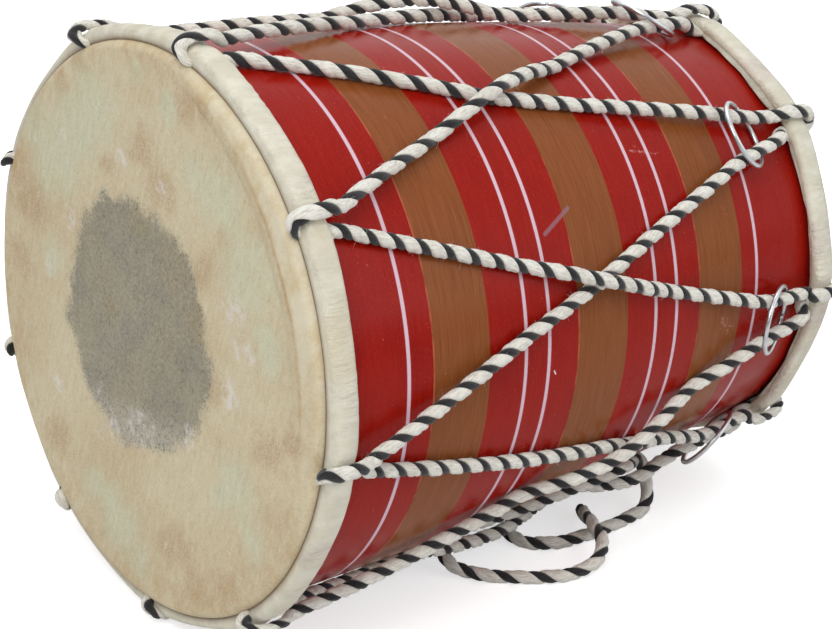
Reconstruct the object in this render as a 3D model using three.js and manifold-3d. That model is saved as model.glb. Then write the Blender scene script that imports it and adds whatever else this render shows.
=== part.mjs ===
// Dholak: a two-headed barrel drum laced with one cotton rope through nine sliding tuning rings.
// Millimetres, +Z up. The drum lies on its side on the floor, treble end toward +X.
import * as THREE from 'three';
import { mergeVertices } from 'three/addons/utils/BufferGeometryUtils.js';
import Module from 'manifold-3d';

const wasm = await Module();
wasm.setup();

// Driving sizes of the wooden shell
const shell = {
  length: 313.5,
  bass_radius: 124.9,
  belly_radius: 114.85,
  treble_radius: 94.85,
  belly_wall: 11,
  mouth_wall: 7,
  lip_fillet: 2.5,
};
// The hide: drum heads drawn over the mouths and curled round the hoops
const hide = {
  head_thickness: 1.2,
  sleeve_thickness: 0.8,
  seat_gap: 0.3,
  flare_reach: 3.05,
  sleeve_reach: 14.95,
  fold_reach: 1.9,
  hole_start: -2.2,
  hole_width: 11.4,
  dip_start: 0.9,
};
// The cane hoops inside the curled hide
const hoop = {
  width: 9.35,
  thickness: 2.2,
  start: 4.15,
  gap: 0.25,
};
// The lacing rope, pressed flatter where it is trapped under and over the hoops
const rope = {
  radius: 3.2,
  over_half_height: 2.5,
  over_half_width: 3.6,
  under_half_height: 1.9,
  under_half_width: 4.2,
  channel_gap: 0.5,
  crossing_gap: 1.15,
  crossing_reach_share: 0.1467,
  ring_lift: 7.2,
  leg_spread: 3.7,
  ring_spread: 8.8,
};
// The steel tuning rings that draw each pair of legs together
const ring = {
  mean_radius: 15.85,
  wire_radius: 1.15,
  place: 49.5,
  rise: 0.6,
  tilt_degrees: 23.6,
};
// Tuning paste under the bass head
const paste = {
  radius: 57,
  thickness: 4.2,
  edge_thickness: 1,
  shoulder: 14,
  offset_y: 4,
  offset_z: 2,
};
// The rope's ends: where the first begins and the last is tucked, as shares of the length, and
// how far each lies to the side of their middle line
const ends = {
  first_tip_share: 0.47847,
  tuck_share: 0.74641,
  side: 3.7,
  tuck_reach_share: 0.03828,
};
// The two free tails of the rope, from the end each goes on from to its loose tip on the floor
const tail_a_points = [
  [-14.64, -43.4, 16.64], [-18.8, -42.5, 16.1], [-23.3, -42.4, 13.5], [-26.7, -44.9, 10.1],
  [-28.4, -49.6, 7.4], [-27.9, -55.3, 5.4], [-25, -60.4, 4.4], [-20.8, -65.2, 3.4],
  [-15.6, -70.2, 3.25], [-9.2, -75.6, 3.25], [-2, -80.8, 3.25], [6.6, -85.8, 3.25],
  [15, -89, 3.4], [23.2, -90.4, 4.4], [30.6, -89.6, 6.3], [36.6, -86.2, 8.5],
  [40.6, -80.4, 9.9], [43.4, -73.2, 10.3], [46.4, -65.8, 9.9], [50.2, -58.2, 7.2],
  [53.9, -51.6, 4.6], [56.7, -47, 3.5],
];
const tail_b_points = [
  [80.85, -55.75, 27.37], [84.2, -53.4, 26.1], [87.6, -53.3, 22.4], [88.7, -54.6, 17.6],
  [88.7, -57.1, 12.7], [87.2, -60.2, 8.2], [83.8, -62.8, 4.9], [78.6, -64.6, 3.5],
  [71.4, -65.6, 3.25], [62, -66.4, 3.25], [52.3, -66.9, 3.25], [42.5, -66.5, 3.25],
  [32.5, -65.2, 3.25], [24, -62.4, 3.25], [17.6, -57.8, 3.25], [14.2, -51.6, 3.25],
  [13.6, -45.4, 3.25], [15.5, -40, 3.25],
];
// How far the hoops dip toward the shell between two lacing points
const bass_dip = 2;
const treble_dip = 2.8;
// How the drum lies: its treble end is lower and it is rolled on to its lacing
const rest_tilt_degrees = 4.48;
const rest_roll_degrees = -9.35;
const floor_press = 0.64;
const weld_size = 0.0001;

// Lacing points round each end, in degrees round the axis
const bass_angles = [66.7, 103.7, 147.1, 192.6, 238.2, 274, 309.6, 343.5, 384.4];
const treble_angles = [62.5, 98.8, 141.4, 188, 231.3, 270, 305, 339, 380];
// Where the two runs between neighbouring lacing points cross: share of the length, degrees
const crossing_shares = [0.49, 0.42, 0.495, 0.565, 0.53, 0.49, 0.49, 0.49, 0.49];
const crossing_angles = [84, 125.8, 169, 212.6, 253, 289.7, 324.3, 361.7, 403.4];
// Each ring's distance from the treble mouth, as a share of the usual one
const ring_place_shares = [0.97, 1, 1, 0.9, 0.93, 0.95, 0.92, 0.97, 0.94];
// How far each ring's legs stand apart, as a share of the usual distance, and how many degrees
// the ring sags round the drum from its lacing point
const ring_spread_shares = [1.03, 1.03, 1.13, 1.05, 1.03, 1, 1, 1, 1.03];
const ring_sags = [-1.2, 0.6, 1.9, 1.6, 1.2, 0, -1.2, -1.5, -1.5];

const lace_count = bass_angles.length;
const round_segments = 54;
const rope_sides = 6;
const tied_pair = 4;
const tied_reach_share = 1.3;

const radians = THREE.MathUtils.degToRad;

// Outer radius of the shell at a distance from the bass mouth: one long shallow curve
function shellRadius(x) {
  const t = x / shell.length;
  const bass = shell.bass_radius * (1 - t) * (1 - 2 * t);
  const belly = shell.belly_radius * 4 * t * (1 - t);
  const treble = shell.treble_radius * t * (2 * t - 1);
  return bass + belly + treble;
}

const bass_end = {
  at: (u) => u,
  angles: bass_angles,
  dip: bass_dip,
};
const treble_end = {
  at: (u) => shell.length - u,
  angles: treble_angles,
  dip: treble_dip,
};

// Heights of the stack over the shell at a lacing point
const under_top = 2 * rope.channel_gap + 2 * rope.under_half_height;
const inner_sleeve_top = under_top + hide.sleeve_thickness;
const hoop_bottom = inner_sleeve_top + hoop.gap;
const hoop_top = hoop_bottom + hoop.thickness;
const outer_sleeve_bottom = hoop_top + hoop.gap;
const band_top = outer_sleeve_bottom + hide.sleeve_thickness;
const over_height = band_top + hide.seat_gap + rope.over_half_height;
const under_height = rope.channel_gap + rope.under_half_height;
const lying_height = hide.seat_gap + rope.radius;
const crossing_rise = 2 * rope.radius + rope.crossing_gap;

// How far the hoop sits below its lacing-point radius at an angle
function hoopDip(end, angle) {
  const half_pitch = 180 / lace_count;
  let lift = 0;
  for (const lace of end.angles) {
    const turn = Math.abs(((angle - lace) % 360 + 540) % 360 - 180);
    const share = Math.min(turn / half_pitch, 1);
    lift = Math.max(lift, Math.cos(share * Math.PI / 2) ** 2);
  }
  return end.dip * (1 - lift);
}

// Joins shared vertices, drops collapsed triangles and turns the faces outward
function closedSolid(geometry) {
  const bare = geometry.index ? geometry.toNonIndexed() : geometry;
  bare.deleteAttribute('normal');
  bare.deleteAttribute('uv');
  const merged = mergeVertices(bare, weld_size);
  const corners = merged.attributes.position;
  const index = Array.from(merged.index.array);
  const kept = [];
  let volume = 0;
  const a = new THREE.Vector3();
  const b = new THREE.Vector3();
  const c = new THREE.Vector3();
  for (let i = 0; i < index.length; i += 3) {
    const [p, q, r] = index.slice(i, i + 3);
    if (p === q || q === r || r === p) continue;
    kept.push(p, q, r);
    a.fromBufferAttribute(corners, p);
    b.fromBufferAttribute(corners, q);
    c.fromBufferAttribute(corners, r);
    volume += a.dot(b.cross(c));
  }
  if (volume < 0) kept.reverse();
  merged.setIndex(kept);
  return merged;
}

function toManifold(geometry) {
  return new wasm.Manifold(new wasm.Mesh({
    numProp: 3,
    vertProperties: new Float32Array(geometry.attributes.position.array),
    triVerts: new Uint32Array(geometry.index.array),
  }));
}

function fromManifold(solid) {
  const mesh = solid.getMesh();
  const geometry = new THREE.BufferGeometry();
  geometry.setAttribute('position', new THREE.BufferAttribute(mesh.vertProperties, 3));
  geometry.setIndex(new THREE.BufferAttribute(mesh.triVerts, 1));
  return geometry;
}

function cutBy(geometry, cutters) {
  let solid = toManifold(closedSolid(geometry));
  for (const cutter of cutters) solid = solid.subtract(toManifold(closedSolid(cutter)));
  return fromManifold(solid);
}

// Turns a closed outline of [distance along the axis, radius] about the X axis
function turned(outline) {
  const profile = outline.map(([x, radius]) => new THREE.Vector2(radius, x));
  if (outline[0][1] !== 0) profile.push(profile[0].clone());
  const geometry = new THREE.LatheGeometry(profile, round_segments);
  geometry.rotateZ(-Math.PI / 2);
  return geometry;
}

function drumPoint(x, degrees, radius) {
  const angle = radians(degrees);
  return new THREE.Vector3(x, radius * Math.cos(angle), radius * Math.sin(angle));
}

function arcPoints(center_x, center_radius, radius, from_degrees, to_degrees, count) {
  return Array.from({ length: count + 1 }, (_, i) => {
    const angle = radians(from_degrees + (to_degrees - from_degrees) * i / count);
    return [center_x + radius * Math.cos(angle), center_radius + radius * Math.sin(angle)];
  });
}

// The shell: a barrel hollowed from one block, with a rounded bearing edge at each mouth
function shellGeometry() {
  const fillet = shell.lip_fillet;
  const bass_lip = arcPoints(fillet, shellRadius(0) - fillet, fillet, 180, 90, 3);
  const treble_lip = arcPoints(
    shell.length - fillet, shellRadius(shell.length) - fillet, fillet, 90, 0, 3);
  const outside = [];
  const inside = [];
  const steps = 8;
  for (let i = 1; i < steps; i += 1) {
    const x = shell.length * i / steps;
    outside.push([x, shellRadius(x)]);
  }
  for (let i = steps; i >= 0; i -= 1) {
    const x = shell.length * i / steps;
    const swell = Math.sin(Math.PI * i / steps);
    const wall = shell.mouth_wall + (shell.belly_wall - shell.mouth_wall) * swell;
    inside.push([x, shellRadius(x) - wall]);
  }
  return turned([...bass_lip, ...outside, ...treble_lip, ...inside]);
}

// Lowers the hoop's part of a turned piece between the lacing points
function dipped(geometry, end) {
  const corners = geometry.attributes.position;
  for (let i = 0; i < corners.count; i += 1) {
    const [x, y, z] = [corners.getX(i), corners.getY(i), corners.getZ(i)];
    const from_mouth = Math.abs(end.at(x));
    const along = THREE.MathUtils.clamp(
      (from_mouth - hide.dip_start) / (hide.flare_reach - hide.dip_start), 0, 1);
    const inside_drum = end.at(x) > 0 ? along : 0;
    const radius = Math.hypot(y, z);
    if (radius === 0) continue;
    const angle = THREE.MathUtils.radToDeg(Math.atan2(z, y));
    const share = 1 - inside_drum * hoopDip(end, angle) / radius;
    corners.setY(i, y * share);
    corners.setZ(i, z * share);
  }
  return geometry;
}

// Half outline of a head: flat membrane, lip, flare, then the sleeve curled round the hoop
function headOutline(end) {
  const fillet = shell.lip_fillet;
  const gap = hide.seat_gap;
  const lip_radius = shellRadius(end.at(0)) - fillet;
  const outer = fillet + gap + hide.head_thickness;
  const inner = fillet + gap;
  const surface = (u, height) => [u, shellRadius(end.at(u)) + height];
  const far = hide.sleeve_reach;
  const bend = hide.sleeve_thickness;
  const hoop_end = hoop.start + hoop.width;
  const thin = hide.sleeve_thickness;
  return [
    [fillet - outer, 0],
    ...arcPoints(fillet, lip_radius, outer, 180, 125, 3),
    surface(hide.flare_reach, inner_sleeve_top),
    surface(hoop_end, inner_sleeve_top),
    surface(far - bend, hoop_bottom + hoop.gap),
    surface(far - bend, hoop_top - hoop.gap),
    surface(hoop_end, outer_sleeve_bottom),
    surface(hoop.start + thin / 2, outer_sleeve_bottom),
    surface(hoop.start - hoop.gap * 1.4, hoop_top),
    surface(hide.fold_reach + thin, inner_sleeve_top + thin),
    surface(hide.fold_reach, inner_sleeve_top + thin + thin / 2),
    surface(hide.flare_reach, outer_sleeve_bottom),
    surface(hoop.start + thin, band_top),
    surface(hoop_end, band_top),
    surface(far - bend / 2, outer_sleeve_bottom),
    surface(far, hoop_bottom + hoop.thickness / 2),
    surface(far - bend / 2, under_top + thin / 2),
    surface(hoop_end, under_top),
    surface(hide.flare_reach + hide.head_thickness * 0.8, under_top),
    ...arcPoints(fillet, lip_radius, inner, 125, 180, 3),
    [fillet - inner, 0],
  ];
}

// A head with the nine slots through which the rope passes under the hoop
function headGeometry(end) {
  const outline = headOutline(end).map(([u, radius]) => [end.at(u), radius]);
  const skin = dipped(turned(outline), end);
  const slot_end = hide.flare_reach + hide.head_thickness;
  const slot_length = slot_end - hide.hole_start;
  const slot_depth = inner_sleeve_top + hide.sleeve_thickness / 2;
  const cutters = end.angles.map((angle) => {
    const slot = new THREE.BoxGeometry(slot_length, slot_depth, hide.hole_width);
    const x = end.at(hide.hole_start + slot_length / 2);
    const radius = shellRadius(end.at(hide.hole_start)) + slot_depth / 2;
    const middle = drumPoint(x, angle, radius);
    slot.rotateX(radians(angle));
    slot.translate(middle.x, middle.y, middle.z);
    return slot;
  });
  return cutBy(skin, cutters);
}

function hoopGeometry(end) {
  const surface = (u, height) => [end.at(u), shellRadius(end.at(u)) + height];
  const hoop_end = hoop.start + hoop.width;
  return dipped(turned([
    surface(hoop.start, hoop_bottom),
    surface(hoop.start, hoop_top),
    surface(hoop_end, hoop_top),
    surface(hoop_end, hoop_bottom),
  ]), end);
}

function pasteGeometry() {
  return turned([
    [0, 0],
    [0, paste.radius],
    [paste.edge_thickness, paste.radius],
    [paste.thickness, paste.radius - paste.shoulder],
    [paste.thickness, 0],
  ]);
}

// One stop on the rope's way: where it is and how flat it is pressed there
function stop(x, degrees, height, half_height, half_width) {
  const radius = shellRadius(x) + height;
  return { point: drumPoint(x, degrees, radius), angle: degrees, half_height, half_width };
}

function sideStep(x, height, distance) {
  return THREE.MathUtils.radToDeg(distance / (shellRadius(x) + height));
}

// The rope comes in under the hoop, rises through the groove by the lip and leaves over the hoop
function loopStops(end, angle) {
  const r = rope.radius;
  const [oh, ow] = [rope.over_half_height, rope.over_half_width];
  const [uh, uw] = [rope.under_half_height, rope.under_half_width];
  const spread = rope.leg_spread;
  const far = hide.sleeve_reach;
  const groove = hide.fold_reach - hide.seat_gap - oh;
  const rows = [
    [far + r * 1.5, lying_height, spread, r, r],
    [far + hide.seat_gap, under_height, spread * 0.9, uh, uw],
    [hoop.start + hoop.width / 2, under_height, spread * 0.7, uh, uw],
    [hoop.start - uh * 0.3, under_height + hide.seat_gap * 0.5, spread * 0.45, uh, ow],
    [groove + oh * 0.75, under_height + uh * 0.75, spread * 0.25, (oh + uh) / 2, ow],
    [groove + oh * 0.1, over_height - oh * 2.4, -spread * 0.1, oh, ow],
    [groove, over_height - oh * 1.5, -spread * 0.45, oh, ow],
    [groove + oh * 0.75, over_height - oh * 0.6, -spread * 0.7, oh, ow],
    [hoop.start + hoop.width * 0.1, over_height, -spread * 0.85, oh, ow],
    [hoop.start + hoop.width * 0.7, over_height, -spread * 0.9, oh, ow],
    [far + r * 0.5, over_height - r * 0.1, -spread * 0.95, oh, ow],
    [far + r * 2, over_height - r * 0.85, -spread, r, r],
  ];
  return rows.map(([u, height, side, half_height, half_width]) => {
    const x = end.at(u);
    return stop(x, angle + sideStep(x, height, side), height, half_height, half_width);
  });
}

function ringPlace(k) {
  return treble_end.at(ring.place * ring_place_shares[k]);
}

function ringAngle(k) {
  return treble_angles[k] + ring_sags[k];
}

// The stops of a run on the shell between its crossing and the treble loop's ring
function ringStops(k, side) {
  const x = ringPlace(k);
  const reach = ring.mean_radius;
  const spread = rope.ring_spread * ring_spread_shares[k];
  const slope = (spread - rope.leg_spread) / (ring.place - hide.sleeve_reach);
  const rows = [
    [x - reach * 0.8, spread + slope * reach * 1.1, 1.1],
    [x, spread, 1],
    [x + reach * 1.45, spread - slope * reach * 1.45, 0.5],
  ];
  return rows.map(([at, distance, sag_share]) => {
    const middle = treble_angles[k] + ring_sags[k] * sag_share;
    const degrees = middle + sideStep(at, rope.ring_lift, side * distance);
    return stop(at, degrees, rope.ring_lift, rope.radius, rope.radius);
  });
}

// Angle at a place on the straight line that a run makes between two of its stops
function between(x, from, to) {
  const share = (x - from.point.x) / (to.point.x - from.point.x);
  return from.angle + (to.angle - from.angle) * share;
}

// The stops on the shell where two runs of a pair cross, one over the other
function crossingStops(pair, over, from, to) {
  const x = shell.length * crossing_shares[pair];
  const middle = stop(x, crossing_angles[pair], lying_height, rope.radius, rope.radius);
  const reach_share = rope.crossing_reach_share * (pair === tied_pair ? tied_reach_share : 1);
  const reach = shell.length * reach_share;
  const forward = Math.sign(to.point.x - from.point.x);
  return [-1, -0.5, -0.2, 0, 0.2, 0.5, 1].map((step) => {
    const at = x + step * reach * forward;
    const rise = over ? hump(at, x, reach) : 0;
    const angle = step < 0 ? between(at, from, middle) : between(at, middle, to);
    return stop(at, angle, lying_height + rise, rope.radius, rope.radius);
  });
}

function lastOf(list) {
  return list[list.length - 1];
}

// How high a run lifts to pass over another at a place
function hump(x, place, reach) {
  return crossing_rise * (1 - Math.min(Math.abs(x - place) / reach, 1) ** 1.5);
}

// The rope's two ends lie side by side on one run under the drum. The first is trapped below
// the crossing run; the last is tucked below the first. lineAngle is the middle line's angle
function firstEndStops(lineAngle) {
  const reach = shell.length * ends.tuck_reach_share;
  const tip = shell.length * ends.first_tip_share;
  const tuck = shell.length * ends.tuck_share;
  const far = tuck - reach * 2.4;
  const way = [
    tip,
    tip + (far - tip) / 2,
    far,
    tuck - reach * 1.2,
    tuck - reach * 0.45,
    tuck + reach * 0.1,
    tuck + reach * 0.65,
    tuck + reach * 1.2,
  ];
  return way.map((x) => {
    const height = lying_height + hump(x, tuck + reach * 0.1, reach * 2.4);
    const degrees = lineAngle(x) + sideStep(x, height, ends.side);
    return stop(x, degrees, height, rope.radius, rope.radius);
  });
}

function lastEndStops(lineAngle) {
  const reach = shell.length * ends.tuck_reach_share;
  const tuck = shell.length * ends.tuck_share;
  const way = [
    [shell.length * ends.first_tip_share, -1],
    [tuck - reach * 1.5, -1],
    [tuck - reach * 0.6, -1],
    [tuck - reach * 0.1, 0.4],
    [tuck + reach * 0.35, 1.9],
    [tuck + reach * 0.8, 3.4],
  ];
  return way.map(([x, side_share]) => {
    const degrees = lineAngle(x) + sideStep(x, lying_height, ends.side * side_share);
    return stop(x, degrees, lying_height, rope.radius, rope.radius);
  });
}

// Adds stops on long stretches so that the rope follows the swell of the shell
function filledStops(stops) {
  const longest = shell.length / 10;
  const filled = [stops[0]];
  for (let i = 1; i < stops.length; i += 1) {
    const [from, to] = [stops[i - 1], stops[i]];
    const count = Math.ceil(Math.abs(to.point.x - from.point.x) / longest);
    const height_at = (s) => Math.hypot(s.point.y, s.point.z) - shellRadius(s.point.x);
    for (let n = 1; n < count; n += 1) {
      const share = n / count;
      const x = from.point.x + (to.point.x - from.point.x) * share;
      const height = height_at(from) + (height_at(to) - height_at(from)) * share;
      const degrees = from.angle + (to.angle - from.angle) * share;
      filled.push(stop(x, degrees, height, rope.radius, rope.radius));
    }
    filled.push(to);
  }
  return filled;
}

// The rope's whole way, from one end under the drum round all eighteen loops to the other
function ropeStops() {
  const loop_count = 2 * lace_count;
  const loops = Array.from({ length: loop_count }, (_, i) => {
    const k = (tied_pair + 2 * lace_count - i) % lace_count;
    const turns = -360 * Math.ceil(Math.max(i - tied_pair, 0) / lace_count);
    return { k, turns, end: i % 2 === 0 ? treble_end : bass_end };
  });
  const turned_by = (stops, turns) => stops.map((s) => ({ ...s, angle: s.angle + turns }));
  const bass_exit = lastOf(loopStops(bass_end, bass_angles[tied_pair + 1]));
  const pinch = ringStops(tied_pair, 1)[0];
  const middle = stop(
    shell.length * crossing_shares[tied_pair], crossing_angles[tied_pair], 0, 0, 0);
  const lineAngle = (x) => (x < middle.point.x ? between(x, bass_exit, middle)
    : between(x, middle, pinch));
  const stops = firstEndStops(lineAngle);
  loops.forEach(({ k, turns, end }, i) => {
    const own = turned_by(loopStops(end, end.angles[k]), turns);
    const leaving = end === treble_end;
    if (!leaving) stops.push(...own);
    else stops.push(...turned_by(ringStops(k, 1), turns), ...own);
    if (leaving) stops.push(...turned_by(ringStops(k, -1), turns).reverse());
    const next = loops[i + 1];
    const pair = (k + lace_count - 1) % lace_count;
    const over = (pair % 2 === 1) === (end === bass_end);
    if (next) {
      const target_loop = turned_by(loopStops(next.end, next.end.angles[next.k]), next.turns);
      const target_ring = turned_by(ringStops(next.k, 1), next.turns);
      const target = next.end === treble_end ? target_ring[0] : target_loop[0];
      const back = next.turns;
      const from = { ...lastOf(stops), angle: lastOf(stops).angle - back };
      const to = { ...target, angle: target.angle - back };
      stops.push(...turned_by(crossingStops(pair, over, from, to), back));
    } else {
      stops.push(...turned_by(lastEndStops(lineAngle), turns));
    }
  });
  return filledStops(stops);
}

// One unbroken tube through the stops, flatter where the rope is pressed
function ropeGeometry(stops) {
  const rings = [];
  let side = new THREE.Vector3(0, 0, 1);
  stops.forEach((s, i) => {
    const before = stops[Math.max(i - 1, 0)].point;
    const after = stops[Math.min(i + 1, stops.length - 1)].point;
    const tangent = after.clone().sub(before).normalize();
    side = side.clone().addScaledVector(tangent, -side.dot(tangent)).normalize();
    const up = tangent.clone().cross(side);
    const angle = radians(s.angle);
    const round_axis = new THREE.Vector3(0, -Math.sin(angle), Math.cos(angle));
    const corners = [];
    for (let n = 0; n < rope_sides; n += 1) {
      const turn = 2 * Math.PI * n / rope_sides;
      const out = side.clone().multiplyScalar(Math.cos(turn));
      out.addScaledVector(up, Math.sin(turn));
      const across = out.dot(round_axis) ** 2;
      const reach = across / s.half_width ** 2 + (1 - across) / s.half_height ** 2;
      corners.push(s.point.clone().addScaledVector(out, 1 / Math.sqrt(reach)));
    }
    rings.push(corners);
  });
  const vertices = [stops[0].point, ...rings.flat(), lastOf(stops).point];
  const index = [];
  const corner = (i, n) => 1 + i * rope_sides + n % rope_sides;
  for (let i = 0; i + 1 < rings.length; i += 1) {
    for (let n = 0; n < rope_sides; n += 1) {
      index.push(corner(i, n), corner(i, n + 1), corner(i + 1, n + 1));
      index.push(corner(i, n), corner(i + 1, n + 1), corner(i + 1, n));
    }
  }
  for (let n = 0; n < rope_sides; n += 1) {
    index.push(0, corner(0, n + 1), corner(0, n));
    index.push(vertices.length - 1, corner(rings.length - 1, n), corner(rings.length - 1, n + 1));
  }
  const geometry = new THREE.BufferGeometry().setFromPoints(vertices);
  geometry.setIndex(index);
  return geometry;
}

// A free tail of the rope: a round tube along its points
function tailGeometry(points) {
  const path = new THREE.CatmullRomCurve3(points.map((p) => new THREE.Vector3(...p)));
  const sides = 8;
  const outline = Array.from({ length: sides }, (_, n) => {
    const turn = 2 * Math.PI * n / sides;
    return new THREE.Vector2(rope.radius * Math.cos(turn), rope.radius * Math.sin(turn));
  });
  return new THREE.ExtrudeGeometry(new THREE.Shape(outline), {
    steps: 2 * points.length,
    bevelEnabled: false,
    extrudePath: path,
  });
}

// Least space between two stretches of the rope that aren't neighbours along it
function leastGap(stops) {
  const samples = [];
  let travelled = 0;
  for (let i = 1; i < stops.length; i += 1) {
    const [from, to] = [stops[i - 1], stops[i]];
    const length = from.point.distanceTo(to.point);
    const count = Math.max(1, Math.ceil(length / (rope.radius / 2)));
    for (let n = 0; n < count; n += 1) {
      const share = n / count;
      const radius = (s) => (s.half_height + s.half_width) / 2;
      samples.push({
        point: from.point.clone().lerp(to.point, share),
        radius: radius(from) + (radius(to) - radius(from)) * share,
        at: travelled + length * share,
      });
    }
    travelled += length;
  }
  let least = Infinity;
  let where = null;
  const apart = rope.radius * 6;
  for (let i = 0; i < samples.length; i += 1) {
    for (let j = i + 1; j < samples.length; j += 1) {
      if (samples[j].at - samples[i].at < apart) continue;
      const gap = samples[i].point.distanceTo(samples[j].point)
        - samples[i].radius - samples[j].radius;
      if (gap < least) {
        least = gap;
        where = samples[i].point;
      }
    }
  }
  return { least, where, travelled };
}

// A ring lies aslant: over both legs on its bass side, under both on its treble side
function ringMesh(k) {
  const geometry = new THREE.TorusGeometry(ring.mean_radius, ring.wire_radius, 6, 20);
  const x = ringPlace(k);
  const height = rope.ring_lift + ring.rise;
  const center = drumPoint(x, ringAngle(k), shellRadius(x) + height);
  const step = ring.wire_radius;
  const ahead = drumPoint(x + step, ringAngle(k), shellRadius(x + step) + height);
  const along = ahead.sub(center).normalize();
  const angle = radians(ringAngle(k));
  const round_axis = new THREE.Vector3(0, -Math.sin(angle), Math.cos(angle));
  const outward = round_axis.clone().cross(along).normalize();
  if (outward.dot(drumPoint(0, ringAngle(k), height)) < 0) outward.negate();
  const tilt = radians(ring.tilt_degrees);
  const down_slope = along.clone().multiplyScalar(Math.cos(tilt));
  down_slope.addScaledVector(outward, -Math.sin(tilt));
  const face = down_slope.clone().cross(round_axis);
  const placed = new THREE.Matrix4().makeBasis(down_slope, round_axis, face);
  placed.setPosition(center);
  geometry.applyMatrix4(placed);
  return { geometry, along };
}

const wood_paint = { color: 0xa8281f, roughness: 0.25, metalness: 0 };
const raw_hide = { color: 0xd8cbb0, roughness: 0.7, metalness: 0 };
const cane = { color: 0xb98d54, roughness: 0.6, metalness: 0 };
const cotton = { color: 0xe4e0d4, roughness: 0.9, metalness: 0 };
const steel = { color: 0xc8ccd0, roughness: 0.25, metalness: 1 };
const dark_paste = { color: 0x3a3833, roughness: 0.9, metalness: 0 };

function piece(name, geometry, look) {
  const mesh = new THREE.Mesh(closedSolid(geometry), new THREE.MeshStandardMaterial(look));
  mesh.name = name;
  return mesh;
}

// The drum in its own frame, its axis along X, then laid down as it rests
const drum = new THREE.Group();
drum.rotation.set(radians(rest_roll_degrees), radians(rest_tilt_degrees), 0, 'YXZ');
drum.updateMatrix();
const to_world = drum.matrix.clone();
const to_drum = to_world.clone().invert();

const stops = ropeStops();
const gap = leastGap(stops);
const lacing = closedSolid(ropeGeometry(stops));

function lowestOf(geometry) {
  const corner = new THREE.Vector3();
  let lowest = Infinity;
  const corners = geometry.attributes.position;
  for (let i = 0; i < corners.count; i += 1) {
    corner.fromBufferAttribute(corners, i).applyMatrix4(to_world);
    lowest = Math.min(lowest, corner.z);
  }
  return lowest;
}

// The rope is pressed flat where the drum's weight stands on it
function pressedLacing(floor) {
  const depth = shell.length;
  const slab = new THREE.BoxGeometry(depth * 3, depth * 3, depth);
  slab.translate(0, 0, floor - depth / 2);
  slab.applyMatrix4(to_drum);
  return cutBy(lacing, [slab]);
}

const floor = lowestOf(lacing) + floor_press;

drum.add(piece('shell', shellGeometry(), wood_paint));
drum.add(piece('bass_head', headGeometry(bass_end), raw_hide));
drum.add(piece('treble_head', headGeometry(treble_end), raw_hide));
drum.add(piece('bass_hoop', hoopGeometry(bass_end), cane));
drum.add(piece('treble_hoop', hoopGeometry(treble_end), cane));
const paste_mesh = piece('tuning_paste', pasteGeometry(), dark_paste);
paste_mesh.position.set(0, paste.offset_y, paste.offset_z);
drum.add(paste_mesh);
drum.add(piece('lacing_rope', pressedLacing(floor), cotton));
for (let k = 0; k < lace_count; k += 1) {
  drum.add(piece(`ring_${k + 1}`, ringMesh(k).geometry, steel));
}

console.log(`lacing rope: ${(gap.travelled / 1000).toFixed(2)} m, `
  + `least gap to itself ${gap.least.toFixed(2)} mm`);

const dholak = new THREE.Group();
dholak.add(drum);
drum.position.z = -floor;
dholak.updateMatrixWorld(true);
const box = new THREE.Box3().setFromObject(drum, true);
drum.position.x = -(box.min.x + box.max.x) / 2;
drum.position.y = -(box.min.y + box.max.y) / 2;
dholak.add(piece('rope_tail_a', tailGeometry(tail_a_points), cotton));
dholak.add(piece('rope_tail_b', tailGeometry(tail_b_points), cotton));
dholak.updateMatrixWorld(true);

export default dholak;
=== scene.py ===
import math
import bpy
import numpy as np
from mathutils import Matrix, Vector
from types import SimpleNamespace


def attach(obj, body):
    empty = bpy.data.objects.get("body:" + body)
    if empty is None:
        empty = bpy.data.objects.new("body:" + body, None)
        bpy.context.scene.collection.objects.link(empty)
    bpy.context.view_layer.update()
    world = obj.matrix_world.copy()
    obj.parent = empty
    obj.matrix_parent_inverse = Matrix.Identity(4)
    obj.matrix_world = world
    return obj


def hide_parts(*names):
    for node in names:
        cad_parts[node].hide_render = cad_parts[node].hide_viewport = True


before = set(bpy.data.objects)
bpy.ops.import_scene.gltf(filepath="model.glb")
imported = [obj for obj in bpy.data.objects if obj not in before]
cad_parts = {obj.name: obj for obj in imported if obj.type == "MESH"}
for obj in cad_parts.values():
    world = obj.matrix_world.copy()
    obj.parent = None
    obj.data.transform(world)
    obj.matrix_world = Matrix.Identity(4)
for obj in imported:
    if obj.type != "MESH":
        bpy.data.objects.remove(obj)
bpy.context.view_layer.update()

MM = 0.001
TAU = 2 * math.pi

# The drum's own frame: X runs along its axis from the bass mouth, and it lies as the CAD has it
TILT, ROLL = math.radians(4.48), math.radians(-9.35)
DRUM = (Matrix.Translation(Vector((-155.13434, 1.84494, 138.05509)) * MM)
        @ Matrix.Rotation(TILT, 4, "Y") @ Matrix.Rotation(ROLL, 4, "X"))

SHELL = dict(length=313.5, bass=124.9, belly=114.85, treble=94.85, belly_wall=11, mouth_wall=7,
             fillet=2.5)
HEAD = dict(skin=1.2, sleeve=0.8, seat=0.3, flare=3.05, reach=14.95, fold=1.9, dip_start=0.9)
HOOP = dict(width=9.35, thick=2.2, start=4.15, gap=0.25)
ROPE = dict(r=3.2, oh=2.5, ow=3.6, uh=1.9, uw=4.2, channel=0.5, crossing_gap=1.15,
            crossing_reach=0.1467, ring_lift=7.2, leg=3.7, ring_spread=8.8)
RING = dict(mean=15.85, wire=1.15, place=49.5, rise=0.6, tilt=math.radians(23.6),
            joint_gap=0.014, joint_neck=0.22, joint_step=0.12)
ENDS = dict(first=150, tuck=234, side=3.7, reach=12)
DIP = {"bass": 2.0, "treble": 2.8}
BASS_ANGLES = [66.7, 103.7, 147.1, 192.6, 238.2, 274, 309.6, 343.5, 384.4]
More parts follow.
